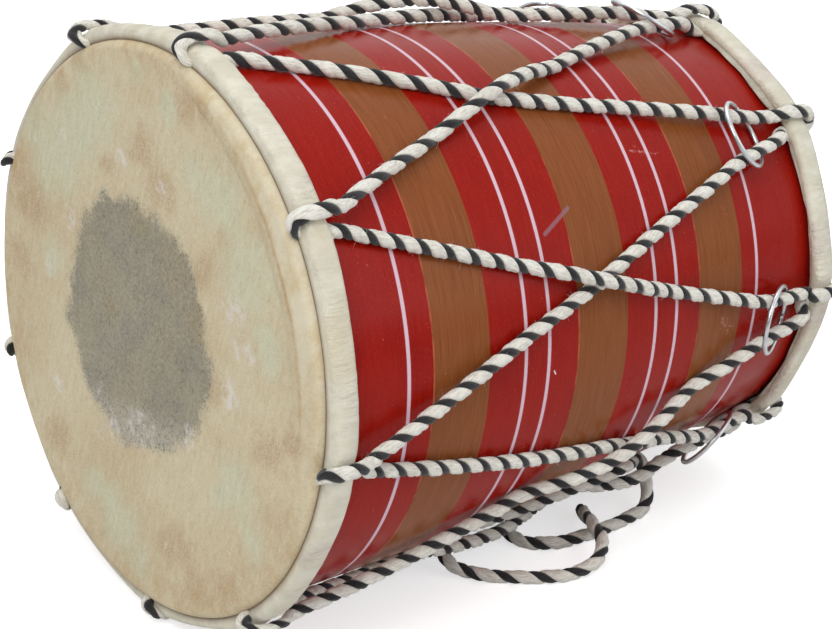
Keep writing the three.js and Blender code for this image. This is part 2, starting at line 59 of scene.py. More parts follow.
TREBLE_ANGLES = [62.5, 98.8, 141.4, 188, 231.3, 270, 305, 339, 380]
CROSS_SHARES = [0.49, 0.42, 0.495, 0.565, 0.53, 0.49, 0.49, 0.49, 0.49]
CROSS_ANGLES = [84, 125.8, 169, 212.6, 253, 289.7, 324.3, 361.7, 403.4]
RING_SHARES = [0.97, 1, 1, 0.9, 0.93, 0.95, 0.92, 0.97, 0.94]
RING_SPREADS = [1.03, 1.03, 1.13, 1.05, 1.03, 1, 1, 1, 1.03]
RING_SAGS = [-1.2, 0.6, 1.9, 1.6, 1.2, 0, -1.2, -1.5, -1.5]
N = 9
TIED = 4
UNDER_TOP = 2 * ROPE["channel"] + 2 * ROPE["uh"]
SLEEVE_TOP = UNDER_TOP + HEAD["sleeve"]
HOOP_TOP = SLEEVE_TOP + HOOP["gap"] + HOOP["thick"]
BAND_TOP = HOOP_TOP + HOOP["gap"] + HEAD["sleeve"]
OVER = BAND_TOP + HEAD["seat"] + ROPE["oh"]
UNDER = ROPE["channel"] + ROPE["uh"]
LYING = HEAD["seat"] + ROPE["r"]
RISE = 2 * ROPE["r"] + ROPE["crossing_gap"]
LENGTH = SHELL["length"]


def shell_radius(x):
    t = x / LENGTH
    return (SHELL["bass"] * (1 - t) * (1 - 2 * t) + SHELL["belly"] * 4 * t * (1 - t)
            + SHELL["treble"] * t * (2 * t - 1))


# The camera, fitted to the photograph in the drum's frame: millimetres and degrees
CAMERA = dict(lens=121.65, sensor=36, azimuth=52.5283, down=17.09936,
              place=(-611.6325, -985.7399, 363.3358))


def add_object(name, data):
    ob = bpy.data.objects.new(name, data)
    bpy.context.collection.objects.link(ob)
    return ob


def make_camera():
    cam = bpy.data.cameras.new("camera")
    cam.lens = CAMERA["lens"]
    cam.sensor_width = CAMERA["sensor"]
    cam.clip_start = 0.05
    cam.clip_end = 50
    ob = add_object("camera", cam)
    az, el = math.radians(CAMERA["azimuth"]), math.radians(CAMERA["down"])
    ahead = Vector((math.cos(el) * math.cos(az), math.cos(el) * math.sin(az), -math.sin(el)))
    right = ahead.cross(Vector((0, 0, 1))).normalized()
    up = right.cross(ahead)
    local = Matrix((right, up, -ahead)).transposed().to_4x4()
    local.translation = Vector(CAMERA["place"]) * MM
    ob.matrix_world = DRUM @ local
    bpy.context.scene.camera = ob


make_camera()


# Node helpers
class Nodes:
    def __init__(self, owner):
        owner.use_nodes = True
        self.m, self.t = owner, owner.node_tree

    def node(self, kind, **props):
        n = self.t.nodes.new(kind)
        ins = props.pop("ins", {})
        for k, v in props.items():
            setattr(n, k, v)
        for k, v in ins.items():
            self.set(n.inputs[k], v)
        return n

    def set(self, socket, v):
        if isinstance(v, bpy.types.NodeSocket):
            self.t.links.new(v, socket)
        elif isinstance(v, (tuple, list)) and socket.type == "RGBA" and len(v) == 3:
            socket.default_value = (*v, 1)
        else:
            socket.default_value = v

    def give(self, name, v):
        self.set(self.b.inputs[name], v)

    def math(self, op, a, b=0.0, c=0.0, clamp=False):
        n = self.node("ShaderNodeMath", operation=op, use_clamp=clamp)
        for s, v in zip(n.inputs, (a, b, c)):
            self.set(s, v)
        return n.outputs[0]

    def times(self, a, b):
        return self.math("MULTIPLY", a, b)

    def vmath(self, op, a, b=(0, 0, 0), scale=None):
        n = self.node("ShaderNodeVectorMath", operation=op)
        self.set(n.inputs[0], a)
        self.set(n.inputs[1], b)
        if scale is not None:
            self.set(n.inputs["Scale"], scale)
        return n.outputs["Value"] if op in ("LENGTH", "DOT_PRODUCT", "DISTANCE") else n.outputs[0]

    def coords(self):
        """The place in the drum's own frame, in metres."""
        at = self.node("ShaderNodeTexCoord").outputs["Object"]
        return self.node("ShaderNodeMapping", vector_type="TEXTURE", ins={
            "Vector": at, "Location": tuple(DRUM.translation), "Rotation": (ROLL, TILT, 0)}).outputs[0]

    def split(self, v):
        return self.node("ShaderNodeSeparateXYZ", ins={0: v}).outputs

    def join(self, x, y, z):
        return self.node("ShaderNodeCombineXYZ", ins={0: x, 1: y, 2: z}).outputs[0]

    def noise(self, v, scale, detail=4.0, rough=0.55, colour=False):
        n = self.node("ShaderNodeTexNoise", ins={
            "Vector": v, "Scale": scale, "Detail": detail, "Roughness": rough})
        return n.outputs["Color" if colour else "Fac"]

    def ramp(self, v, lo, hi, a=0.0, b=1.0, smooth=True):
        n = self.node("ShaderNodeMapRange", interpolation_type="SMOOTHSTEP" if smooth else "LINEAR",
                      ins={0: v, 1: lo, 2: hi, 3: a, 4: b})
        return n.outputs[0]

    def mix(self, fac, a, b):
        """A tuple is a screen colour from 0 to 255, and a list is linear light."""
        n = self.node("ShaderNodeMix", data_type="RGBA")
        for i, v in ((0, fac), (6, a), (7, b)):
            self.set(n.inputs[i], srgb(*v) if isinstance(v, tuple) else v)
        return n.outputs[2]

    def blend(self, fac, a, b):
        return self.node("ShaderNodeMixShader", ins={0: fac, 1: a, 2: b}).outputs[0]

    def layers(self, tone, rows):
        """Lays each colour over the tone where its field passes through its ramp."""
        for field, *ends, colour in rows:
            tone = self.mix(self.ramp(field, *ends), tone, colour)
        return tone

    def mottle(self, field, dark, light, rough, *relief):
        """A finish whose colour and relief follow one noise."""
        self.give("Base Color", self.mix(self.ramp(field, 0.3, 0.7), dark, light))
        self.give("Roughness", rough)
        self.give("Normal", self.bump(field, *relief))
        return self.m

    def bump(self, height, strength, distance, normal=None):
        n = self.node("ShaderNodeBump", ins={"Strength": strength, "Distance": distance,
                                             "Height": height})
        if normal is not None:
            self.set(n.inputs["Normal"], normal)
        return n.outputs[0]


class Mat(Nodes):
    def __init__(self, name):
        super().__init__(bpy.data.materials.new(name))
        self.b = self.t.nodes["Principled BSDF"]


def segment(m, at, p, q):
    """Distance from a line between two points, as nodes."""
    p, q = Vector(p), Vector(q)
    way = q - p
    rel = m.vmath("SUBTRACT", at, tuple(p))
    t = m.math("MULTIPLY", m.vmath("DOT_PRODUCT", rel, tuple(way)), 1 / way.length_squared,
               clamp=True)
    foot = m.vmath("SCALE", tuple(way), scale=t)
    return m.vmath("DISTANCE", rel, foot)


def srgb(r, g, b):
    return tuple(v / 12.92 if v <= 0.04045 else ((v + 0.055) / 1.055) ** 2.4
                 for v in (r / 255, g / 255, b / 255))


# Geometry helpers, in millimetres in the drum's frame
def drum_point(x, degrees, radius):
    a = math.radians(degrees)
    return np.array((x, radius * math.cos(a), radius * math.sin(a)))


def new_object(name, verts, faces, drum=True):
    me = bpy.data.meshes.new(name)
    verts = np.asarray(verts, float) * MM
    if drum:
        m = np.array(DRUM)
        verts = verts @ m[:3, :3].T + m[:3, 3]
    me.from_pydata(verts.tolist(), [], [list(map(int, f)) for f in faces])
    me.polygons.foreach_set("use_smooth", [True] * len(me.polygons))
    me.update()
    return add_object(name, me)


def mark_points(ob, name, kind, values):
    """Gives every point of the object a value that its material reads."""
    att = ob.data.attributes.new(name, kind, "POINT")
    att.data.foreach_set("vector" if kind == "FLOAT_VECTOR" else "value", values)


def grid_faces(rows, cols, close_rows=False):
    out = []
    for i in range(rows if close_rows else rows - 1):
        j = np.arange(cols)
        a = i * cols + j
        b = i * cols + (j + 1) % cols
        c = ((i + 1) % rows) * cols + (j + 1) % cols
        d = ((i + 1) % rows) * cols + j
        out.append(np.stack([a, b, c, d], 1))
    return np.concatenate(out)


def unit(vectors):
    return vectors / np.linalg.norm(vectors, axis=1)[:, None]


def turned(profile, segments):
    """The points of an outline of (x, radius) turned about X."""
    x = np.array([p[0] for p in profile])[:, None]
    r = np.array([p[1] for p in profile])[:, None]
    a = np.arange(segments)[None] * TAU / segments
    x, r, a = np.broadcast_arrays(x, r, a)
    return np.stack([x, r * np.cos(a), r * np.sin(a)], -1).reshape(-1, 3)


# The rope's way, as in the CAD
ANGLES = {"bass": BASS_ANGLES, "treble": TREBLE_ANGLES}
# The place along the axis of a point that is u from an end's mouth
ALONG = {"bass": lambda u: u, "treble": lambda u: LENGTH - u}


def stop(x, deg, h, hh=ROPE["r"], hw=ROPE["r"]):
    return [x, deg, h, hh, hw]


def side_step(x, h, distance):
    return math.degrees(distance / (shell_radius(x) + h))


# The middle of the side away from the camera, in degrees, and how deep the loops lie there
FAR_SIDE = 330
FAR_DEPTH = 2.8


def loop_stops(end, angle):
    r, oh, ow, uh, uw = (ROPE[k] for k in ("r", "oh", "ow", "uh", "uw"))
    s, far = ROPE["leg"], HEAD["reach"]
    groove = HEAD["fold"] - HEAD["seat"] - oh
    rows = [
        (far + r * 1.5, LYING, s, r, r),
        (far + HEAD["seat"], UNDER, s * 0.9, uh, uw),
        (HOOP["start"] + HOOP["width"] / 2, UNDER, s * 0.7, uh, uw),
        (HOOP["start"] - uh * 0.3, UNDER + HEAD["seat"] * 0.5, s * 0.45, uh, ow),
        (groove + oh * 0.75, UNDER + uh * 0.75, s * 0.25, (oh + uh) / 2, ow),
        (groove + oh * 0.1, OVER - oh * 2.4, -s * 0.1, oh, ow),
        (groove, OVER - oh * 1.5, -s * 0.45, oh, ow),
        (groove + oh * 0.75, OVER - oh * 0.6, -s * 0.7, oh, ow),
        (HOOP["start"] + HOOP["width"] * 0.1, OVER, -s * 0.85, oh, ow),
        (HOOP["start"] + HOOP["width"] * 0.7, OVER, -s * 0.9, oh, ow),
        (far + r * 0.5, OVER - r * 0.1, -s * 0.95, oh, ow),
        (far + r * 2, OVER - r * 0.85, -s, r, r),
    ]
    at = ALONG[end]
    # round the far side of the bass end the rope is drawn deeper into the soft roll
    deep = 0.0
    if end == "bass":
        deep = max(0.0, math.cos(math.radians(angle - FAR_SIDE))) ** 0.5 * FAR_DEPTH
    over = lambda h: max(0.0, min(1.0, (h - 4) / 4))
    return [stop(at(u + (0.5 * deep if u < 1 else 0)), angle + side_step(at(u), h, side),
                 h - deep * over(h), hh, hw) for u, h, side, hh, hw in rows]


def ring_place(k):
    return LENGTH - RING["place"] * RING_SHARES[k]


def ring_stops(k, side):
    x, reach, spread = ring_place(k), RING["mean"], ROPE["ring_spread"] * RING_SPREADS[k]
    slope = (spread - ROPE["leg"]) / (RING["place"] - HEAD["reach"])
    rows = [(x - reach * 0.8, spread + slope * reach * 1.1, 1.1), (x, spread, 1),
            (x + reach * 1.45, spread - slope * reach * 1.45, 0.5)]
    h = ROPE["ring_lift"]
    return [stop(at, TREBLE_ANGLES[k] + RING_SAGS[k] * sag + side_step(at, h, side * d), h)
            for at, d, sag in rows]


def between(x, a, b):
    return a[1] + (b[1] - a[1]) * (x - a[0]) / (b[0] - a[0])


def hump(x, place, reach):
    return RISE * (1 - min(abs(x - place) / reach, 1) ** 1.5)


def crossing_stops(pair, over, a, b):
    x = LENGTH * CROSS_SHARES[pair]
    mid = stop(x, CROSS_ANGLES[pair], LYING)
    reach = LENGTH * ROPE["crossing_reach"] * (1.3 if pair == TIED else 1)
    ahead = 1 if b[0] > a[0] else -1
    out = []
    for step in (-1, -0.5, -0.2, 0, 0.2, 0.5, 1):
        at = x + step * reach * ahead
        deg = between(at, a, mid) if step < 0 else between(at, mid, b)
        out.append(stop(at, deg, LYING + (hump(at, x, reach) if over else 0)))
    return out


def first_end(line):
    reach, tuck = ENDS["reach"], ENDS["tuck"]
    far = tuck - reach * 2.4
    way = [ENDS["first"], ENDS["first"] + (far - ENDS["first"]) / 2, far, tuck - reach * 1.2,
           tuck - reach * 0.45, tuck + reach * 0.1, tuck + reach * 0.65, tuck + reach * 1.2]
    out = []
    for x in way:
        h = LYING + hump(x, tuck + reach * 0.1, reach * 2.4)
        out.append(stop(x, line(x) + side_step(x, h, ENDS["side"]), h))
    return out


def last_end(line):
    reach, tuck = ENDS["reach"], ENDS["tuck"]
    way = [(ENDS["first"], -1), (tuck - reach * 1.5, -1), (tuck - reach * 0.6, -1),
           (tuck - reach * 0.1, 0.4), (tuck + reach * 0.35, 1.9), (tuck + reach * 0.8, 3.4)]
    return [stop(x, line(x) + side_step(x, LYING, ENDS["side"] * s), LYING)
            for x, s in way]


def moved(stops, turns):
    return [[s[0], s[1] + turns, *s[2:]] for s in stops]


# How far along the rope one turn of its strands takes, in mm: bass point, treble point, near
# the bass end, near the treble end; elsewhere LAY
LAY = 13.0
LAYS = {(2, 1): (18, 14), (1, 2): (16, 13), (1, 0): (18, 14), (0, 1): (12, 12), (2, 3): (13, 13)}


def rope_stops():
    loops = [((TIED + 2 * N - i) % N, -360 * math.ceil(max(i - TIED, 0) / N),
              "treble" if i % 2 == 0 else "bass") for i in range(2 * N)]
    bass_exit = loop_stops("bass", BASS_ANGLES[TIED + 1])[-1]
    pinch = ring_stops(TIED, 1)[0]
    mid = stop(LENGTH * CROSS_SHARES[TIED], CROSS_ANGLES[TIED], 0, 0, 0)
    line = lambda x: between(x, bass_exit, mid) if x < mid[0] else between(x, mid, pinch)
    stops = first_end(line)
    lays = [LAY] * len(stops)
    last = (LAY, LAY)
    for i, (k, turns, end) in enumerate(loops):
        own = moved(loop_stops(end, ANGLES[end][k]), turns)
        side = 0 if end == "bass" else 1
        if end == "treble":
            own = moved(ring_stops(k, 1), turns) + own + moved(ring_stops(k, -1), turns)[::-1]
        pair = (k + N - 1) % N
        over = (pair % 2 == 1) == (end == "bass")
        nk, back, nend = loops[min(i + 1, len(loops) - 1)]
        run = LAYS.get((k, nk) if end == "bass" else (nk, k), (LAY, LAY))
        half = len(own) // 2
        lays += [last[side]] * half + [run[side]] * (len(own) - half)
        stops += own
        last = run
        if i + 1 < len(loops):
            target = (ring_stops(nk, 1)[0] if nend == "treble"
                      else loop_stops(nend, ANGLES[nend][nk])[0])
            a = moved([stops[-1]], -back)[0]
            cross = moved(crossing_stops(pair, over, a, target), back)
            stops += cross
            lays += [run[side]] * 3 + [sum(run) / 2] + [run[1 - side]] * 3
        else:
            tail = moved(last_end(line), turns)
            stops += tail
            lays += [LAY] * len(tail)
    return [[*row, lay] for row, lay in zip(stops, lays)]


def smooth_path(points, step):
    """Even steps along a centripetal spline through the points (any number of columns)."""
    p = np.asarray(points, float)
    ext = np.vstack([2 * p[0] - p[1], p, 2 * p[-1] - p[-2]])
    out = []
    for i in range(1, len(ext) - 2):
        q = ext[i - 1:i + 3]
        t = np.concatenate([[0], np.cumsum(np.maximum(
            np.linalg.norm(np.diff(q[:, :3], axis=0), axis=1) ** 0.5, 1e-4))])
        s = np.linspace(t[1], t[2], 14, endpoint=False)[:, None]
        mixd = lambda a, b, ta, tb: a * (tb - s) / (tb - ta) + b * (s - ta) / (tb - ta)
        a1, a2, a3 = (mixd(q[j], q[j + 1], t[j], t[j + 1]) for j in range(3))
        b1, b2 = mixd(a1, a2, t[0], t[2]), mixd(a2, a3, t[1], t[3])
        out.append(mixd(b1, b2, t[1], t[2]))
    out = np.vstack([*out, p[-1:]])
    run = np.concatenate([[0], np.cumsum(np.linalg.norm(np.diff(out[:, :3], axis=0), axis=1))])
    at = np.linspace(0, run[-1], int(round(run[-1] / step)) + 1)
    return np.stack([np.interp(at, run, out[:, c]) for c in range(p.shape[1])], 1), at


# One black strand and two white ones: how many sides each takes, and how deep the groove is
# on its two sides (the white pair lie close, the black one sinks between them)
STRAND_SIDES = (13, 12, 12)
GROOVES = ((0.24, 0.24), (0.3, 0.06), (0.06, 0.3))
CROWNS = (0.95, 1.02, 1.02)
# How far out the seam before each strand lies, and the most that any point may reach
SEAMS = [0.71, 0.71, 0.96]
MOST_REACH = 1.08
SIDES = sum(STRAND_SIDES)
ROPE_SEED = 7
# Loose fibres, in mm: half width, how much it tapers, and the least and greatest length
HAIR = dict(half=0.05, taper=0.6, shortest=0.3, longest=2.8)
HAIRS_PER_MM = 3.0


def wobble(at, scale, seed):
    """Smooth noise along a length, about one swing per scale."""
    r = np.random.default_rng(seed)
    knots = np.arange(at[0] - 2 * scale, at[-1] + 3 * scale, scale)
    return np.interp(at, knots, r.normal(size=len(knots)))


def strand_section(rng, at, lay):
    """For each side: its strand and how deep it lies in its groove, which sets the painted groove shade;
    for each point: its angle and its reach.
    """
    strand = np.repeat(np.arange(3), STRAND_SIDES)
    inside = np.concatenate([np.arange(n) / n for n in STRAND_SIDES])
    from_mid = 2 * inside - 1
    groove = np.array([GROOVES[k][0 if u < 0 else 1] for k, u in zip(strand, from_mid)])
    lobe = np.array(CROWNS)[strand] - groove * np.abs(from_mid) ** 2.2
    lobe[inside == 0] = SEAMS
    # painted shade: sides that lie deep in a groove between strands get a value that darkens their colour
    groove_shade = np.abs(from_mid) ** 2 * np.where(groove > 0.1, 1.0, 0.3)
    lay = np.broadcast_to(np.asarray(lay, float), at.shape)
    turn = np.cumsum(np.concatenate([[0], np.diff(at)]) * TAU / lay)
    theta = (np.arange(SIDES) * TAU / SIDES)[None] - turn[:, None]
    size = np.ones((len(at), SIDES))
    for k in range(3):
        size[:, strand == k] += (0.03 * wobble(at, 5.5, 11 + k))[:, None]
    size += 0.012 * rng.normal(size=size.shape) + 0.022 * wobble(at, 2.1, 19)[:, None]
    rad = np.minimum(lobe[None] * size, MOST_REACH)
    end = np.minimum(np.arange(len(at)), np.arange(len(at))[::-1])[:, None]
    rad = rad * np.where(end < 3, 0.8 + 0.2 * np.sqrt(np.clip(end / 3, 0, 1)), 1)
    return strand, groove_shade, theta, rad


def loose_fibres(rng, count, verts, centre, tangent):
    """Four pairs of points along each fibre, and the side of the rope that it grows from."""
    i = rng.integers(4, len(verts) - 4, count)
    j = rng.integers(0, SIDES, count)
    out = unit(verts[i, j] - centre[i])
    round_way = np.cross(out, tangent[i])
    go = (out * rng.uniform(0.25, 1.0, (count, 1)) + round_way * rng.normal(size=(count, 1)) * 0.8
          + tangent[i] * rng.normal(size=(count, 1)) * 0.9)
    go = unit(go)
    sag = rng.normal(size=(count, 3)) * 0.5 - out * 0.35
    wide = unit(np.cross(go, rng.normal(size=(count, 3))))
    long = rng.gamma(2.2, 0.5, count)[:, None].clip(HAIR["shortest"], HAIR["longest"])
    parts = []
    for t in (0, 0.34, 0.67, 1):
        mid = verts[i, j] - out * 0.1 + (go * t + sag * t * t * 0.6) * long
        half = wide * HAIR["half"] * (1 - HAIR["taper"] * t)
        parts += [mid - half, mid + half]
    return np.stack(parts, 1).reshape(-1, 3), j


def above_floor(points):
    """The drum's points, with those under the floor lifted on to it."""
    m = np.array(DRUM)
    world = m[:3, :3] @ points.T * MM + m[:3, 3:]
    under = np.minimum(world[2], 0.0) / MM
    return points - under[:, None] * m[2, :3][None]


def laid_rope(name, centre, half_h, half_w, at, outward, lay, drum=True, hairs=0.0):
    """Three strands laid right-handed round the centre line, with loose fibres on them."""
    rng = np.random.default_rng(ROPE_SEED)
    tangent = unit(np.gradient(centre, axis=0))
    up = unit(outward - (outward * tangent).sum(1)[:, None] * tangent)
    side = np.cross(tangent, up)
    strand, groove_shade, theta, rad = strand_section(rng, at, lay)
    c, s = np.cos(theta) * rad, np.sin(theta) * rad
    verts = (centre[:, None] + side[:, None] * (c * half_w[:, None])[..., None]
             + up[:, None] * (s * half_h[:, None])[..., None])
    rows = len(at)
    flat = verts.reshape(-1, 3)
    faces = [tuple(f) for f in grid_faces(rows, SIDES)]
    mats = np.tile(np.where(strand == 0, 1, 0), rows - 1).tolist()
    first, last = len(flat), len(flat) + 1
    flat = np.vstack([flat, centre[:1], centre[-1:]])
    for j in range(SIDES):
        k = (j + 1) % SIDES
        faces.append((first, k, j))
        faces.append((last, (rows - 1) * SIDES + j, (rows - 1) * SIDES + k))
        mats += [mats[j]] * 2
    r = ROPE["r"]
    fibre = np.stack([np.cos(theta) * r, np.sin(theta) * r,
                      np.broadcast_to(at[:, None], theta.shape)], -1).reshape(-1, 3)
    fibre = np.vstack([fibre, [[0, 0, at[0]], [0, 0, at[-1]]]])
    # deep carries each point's painted groove shade; the end caps get none
    deep = np.vstack([np.tile(groove_shade, rows)[:, None], [[0], [0]]]).ravel()
    count = int(hairs * at[-1])
    if count:
        hair, j = loose_fibres(rng, count, verts, centre, tangent)
        base = len(flat) + np.arange(count) * 8
        for q in range(3):
            a = base + 2 * q
            faces += list(zip(a, a + 1, a + 3, a + 2))
            mats += (strand[j] == 0).astype(int).tolist()
        flat = np.vstack([flat, hair])
        fibre = np.vstack([fibre, hair])
        deep = np.concatenate([deep, np.zeros(len(hair))])
    ob = new_object(name, above_floor(flat) if drum else flat, faces, drum=drum)
    ob.data.polygons.foreach_set("material_index", mats)
    mark_points(ob, "fibre", "FLOAT_VECTOR", (fibre * MM).ravel())
    mark_points(ob, "groove_shade", "FLOAT", deep)
    for m in (cream, black):
        ob.data.materials.append(m)
    return ob


def rope_material(name, base, dark, light, rough):
    m = Mat(name)
    fibre = m.node("ShaderNodeAttribute", attribute_name="fibre").outputs["Vector"]
    groove_shade = m.node("ShaderNodeAttribute", attribute_name="groove_shade").outputs["Fac"]
    stretch = m.vmath("MULTIPLY", fibre, (1, 1, 0.16))
    yarn = m.noise(stretch, 1700, 3, 0.6)
    fuzz = m.noise(m.vmath("MULTIPLY", fibre, (1, 1, 0.5)), 5200, 4, 0.7)
    soil = m.noise(fibre, 46, 3, 0.6)
    tone = m.mix(m.ramp(yarn, 0.3, 0.6), dark, base)
    tone = m.mix(m.ramp(fuzz, 0.42, 0.75, 0, 0.7), tone, light)
    tone = m.mix(m.ramp(soil, 0.5, 0.74, 0, 0.5), tone, dark)
    # painted shade: the rope is darkened in the grooves between its strands
    tone = m.mix(m.ramp(groove_shade, 0.5, 1.0, 0, 0.6), tone, [v * 0.4 for v in srgb(*dark)])
    m.give("Base Color", tone)
    m.give("Roughness", rough)
    m.give("Specular IOR Level", 0.15)
    m.give("Sheen Weight", 0.3)
    m.give("Sheen Roughness", 0.5)
    height = m.math("ADD", m.times(yarn, 0.6), m.times(fuzz, 0.5))
    m.give("Normal", m.bump(height, 0.7, 0.0004))
    return m.m


cream = rope_material("cotton_cream", (234, 231, 221), (196, 189, 174), (250, 248, 242), 0.9)
black = rope_material("cotton_black", (40, 40, 42), (18, 18, 20), (84, 83, 84), 0.85)

# The rope's two loose tails, through the CAD's points
TAIL_A = [
    (-14.64, -43.4, 16.64), (-18.8, -42.5, 16.1), (-23.3, -42.4, 13.5), (-26.7, -44.9, 10.1),
    (-28.4, -49.6, 7.4), (-27.9, -55.3, 5.4), (-25, -60.4, 4.4), (-20.8, -65.2, 3.4),
    (-15.6, -70.2, 3.25), (-9.2, -75.6, 3.25), (-2, -80.8, 3.25), (6.6, -85.8, 3.25),
    (15, -89, 3.4), (23.2, -90.4, 4.4), (30.6, -89.6, 6.3), (36.6, -86.2, 8.5),
    (40.6, -80.4, 9.9), (43.4, -73.2, 10.3), (46.4, -65.8, 9.9), (50.2, -58.2, 7.2),
    (53.9, -51.6, 4.6), (56.7, -47, 3.5),
]
TAIL_B = [
    (80.85, -55.75, 27.37), (84.2, -53.4, 26.1), (87.6, -53.3, 22.4), (88.7, -54.6, 17.6),
    (88.7, -57.1, 12.7), (87.2, -60.2, 8.2), (83.8, -62.8, 4.9), (78.6, -64.6, 3.5),
    (71.4, -65.6, 3.25), (62, -66.4, 3.25), (52.3, -66.9, 3.25), (42.5, -66.5, 3.25),
    (32.5, -65.2, 3.25), (24, -62.4, 3.25), (17.6, -57.8, 3.25), (14.2, -51.6, 3.25),
    (13.6, -45.4, 3.25), (15.5, -40, 3.25),
]

TAIL_LAY = 17.0
TAIL_STEP = 0.8


def make_tail(name, node, points, lay):
    centre, at = smooth_path(points, TAIL_STEP)
    one = np.full(len(at), ROPE["r"])
    outward = np.broadcast_to(np.array((0.0, 0.0, 1.0)), centre.shape).copy()
    steep = np.abs(np.gradient(centre, axis=0)[:, 2]) > 0.7 * TAIL_STEP
    outward[steep] += (0, 0.8, 0)
    for _ in range(12):
        outward[1:-1] = (outward[:-2] + outward[1:-1] + outward[2:]) / 3
    ob = laid_rope(name, centre, one, one, at, outward, lay, drum=False)
    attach(ob, "drum")
    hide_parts(node)


make_tail("tail_a", "rope_tail_a", TAIL_A, TAIL_LAY)
make_tail("tail_b", "rope_tail_b", TAIL_B, TAIL_LAY)


# The lacing
def make_lacing():
    pts = np.array(rope_stops())
    # fine steps in (x, angle, height) first, so that long runs follow the shell's swell
    dense = [pts[0]]
    for a, b in zip(pts[:-1], pts[1:]):
        n = max(1, int(abs(b[0] - a[0]) / 12))
        dense += [a + (b - a) * i / n for i in range(1, n + 1)]
    dense = np.array(dense)
    rad = shell_radius(dense[:, 0]) + dense[:, 2]
    a = np.radians(dense[:, 1])
    p = np.column_stack([dense[:, 0], rad * np.cos(a), rad * np.sin(a), dense[:, 3:]])
    path, at = smooth_path(p, 0.85)
    centre = path[:, :3]
    outward = centre * (0, 1, 1)
    return laid_rope("lacing", centre, path[:, 3], path[:, 4], at, outward, path[:, 5],
                     hairs=HAIRS_PER_MM)


lacing = make_lacing()
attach(lacing, "drum")
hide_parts("lacing_rope")


# The shell
STRIPES = [46.3, 111.7, 125.5, 191.9, 205.7, 261.4]
# In mm: how soft a band ends, and how far from its middle a stripe starts to fade and is gone
BLUR = 0.25
LINE_EDGES = (0.75, 1.15)
BROWNS = [(59.8, 90.8), (143.3, 173.8), (221.3, 250.6)]
# Scuffs from one (x, angle) to another: half width, where its noise starts, strength, colour
SHELL_MARKS = [
    ((130, 157), (147, 152.5), 1.3, 0.3, 0.7, (148, 112, 122)),
    ((196, 142), (212, 143.5), 0.9, 0.5, 0.6, (214, 160, 160)),
    ((199, 140.5), (206, 145.5), 0.8, 0.5, 0.6, (214, 160, 160)),
    ((240, 187.5), (246, 191.5), 3.6, 0.52, 0.6, (196, 166, 158)),
    ((129, 186.2), (130, 187), 0.5, 0.0, 0.9, (232, 222, 214)),
]
SHELL_SEGMENTS = 256
BORE_STEPS = 30


def shell_material():
    m = Mat("lacquer")
    co = m.coords()
    x, y, z = m.split(co)
    wave = m.times(m.math("SUBTRACT", m.noise(co, 9, 1), 0.5), 0.0012)
    xx = m.times(m.math("ADD", x, wave), 1000.0)
    ring = m.join(m.times(x, 26.0), y, z)
    grain = m.noise(ring, 60, 5, 0.65)
    fine = m.noise(m.join(m.times(x, 60.0), y, z), 42, 4, 0.7)
    blotch = m.noise(co, 22, 4, 0.6)
    red = m.mix(m.ramp(grain, 0.3, 0.72), (142, 14, 6), (160, 24, 12))
    red = m.mix(m.ramp(blotch, 0.5, 0.75, 0, 0.5), red, (138, 10, 4))
    brown = m.mix(m.ramp(fine, 0.3, 0.7), (122, 64, 28), (144, 84, 44))
    brown = m.mix(m.ramp(grain, 0.45, 0.75, 0, 0.4), brown, (156, 98, 58))
    inside = 0.0
    for lo, hi in BROWNS:
        band = m.times(m.ramp(xx, lo - BLUR, lo + BLUR), m.ramp(xx, hi - BLUR, hi + BLUR, 1, 0))
        inside = m.math("MAXIMUM", inside, band)
    tone = m.mix(inside, red, brown)
    line = 0.0
    for at in STRIPES:
        off = m.math("ABSOLUTE", m.math("SUBTRACT", xx, at))
        line = m.math("MAXIMUM", line, m.ramp(off, *LINE_EDGES, 1, 0))
    thin = m.ramp(m.noise(co, 240, 3), 0.2, 0.32)
    tone = m.mix(m.times(line, thin), tone, (222, 192, 204))
    tone = m.mix(m.times(m.ramp(m.noise(co, 1300, 3, 0.7), 0.5, 0.8), 0.35), tone,
                 (176, 78, 50))
    for edge in [b[0] for b in BROWNS]:
        off = m.math("ABSOLUTE", m.math("SUBTRACT", xx, edge))
        thin_line = m.times(m.ramp(off, 0.25, 0.6, 1, 0), m.ramp(m.noise(co, 60, 3), 0.4, 0.6))
        tone = m.mix(m.times(thin_line, 0.55), tone, (206, 118, 84))
    # scuffs: a grey smear, white scratches and a worn spot
    worn = m.noise(co, 520, 6, 0.8)
    on_shell = lambda x, deg: tuple(drum_point(x, deg, shell_radius(x)) * MM)
    for p, q, half, lo, much, colour in SHELL_MARKS:
        d = segment(m, co, on_shell(*p), on_shell(*q))
        here = m.times(m.ramp(d, half * 0.4 * MM, half * MM, 1, 0), m.ramp(worn, lo, lo + 0.12))
        tone = m.mix(m.times(here, much), tone, colour)
    specks = m.noise(co, 900, 2, 0.5)
    dust = m.times(m.ramp(specks, 0.72, 0.8), m.ramp(blotch, 0.42, 0.6))
    tone = m.mix(m.times(dust, 0.5), tone, (205, 180, 165))
    m.give("Base Color", tone)
    m.give("Roughness", m.ramp(m.noise(co, 34, 4, 0.7), 0.3, 0.75, 0.16, 0.3))
    m.give("Specular IOR Level", 0.12)
    height = m.math("ADD", m.times(grain, 0.5), m.times(fine, 0.25))
    soft = m.bump(m.noise(m.join(m.times(x, 3.0), y, z), 14, 3), 0.35, 0.0016)
    m.give("Normal", m.bump(height, 0.16, 0.0005, soft))
    return m.m


def wood_material():
    m = Mat("bare_wood")
    x, y, z = m.split(m.coords())
    grain = m.noise(m.join(x, m.times(y, 9.0), m.times(z, 9.0)), 40, 5, 0.6)
    return m.mottle(grain, (150, 108, 68), (198, 158, 112), 0.75, 0.4, 0.0008)


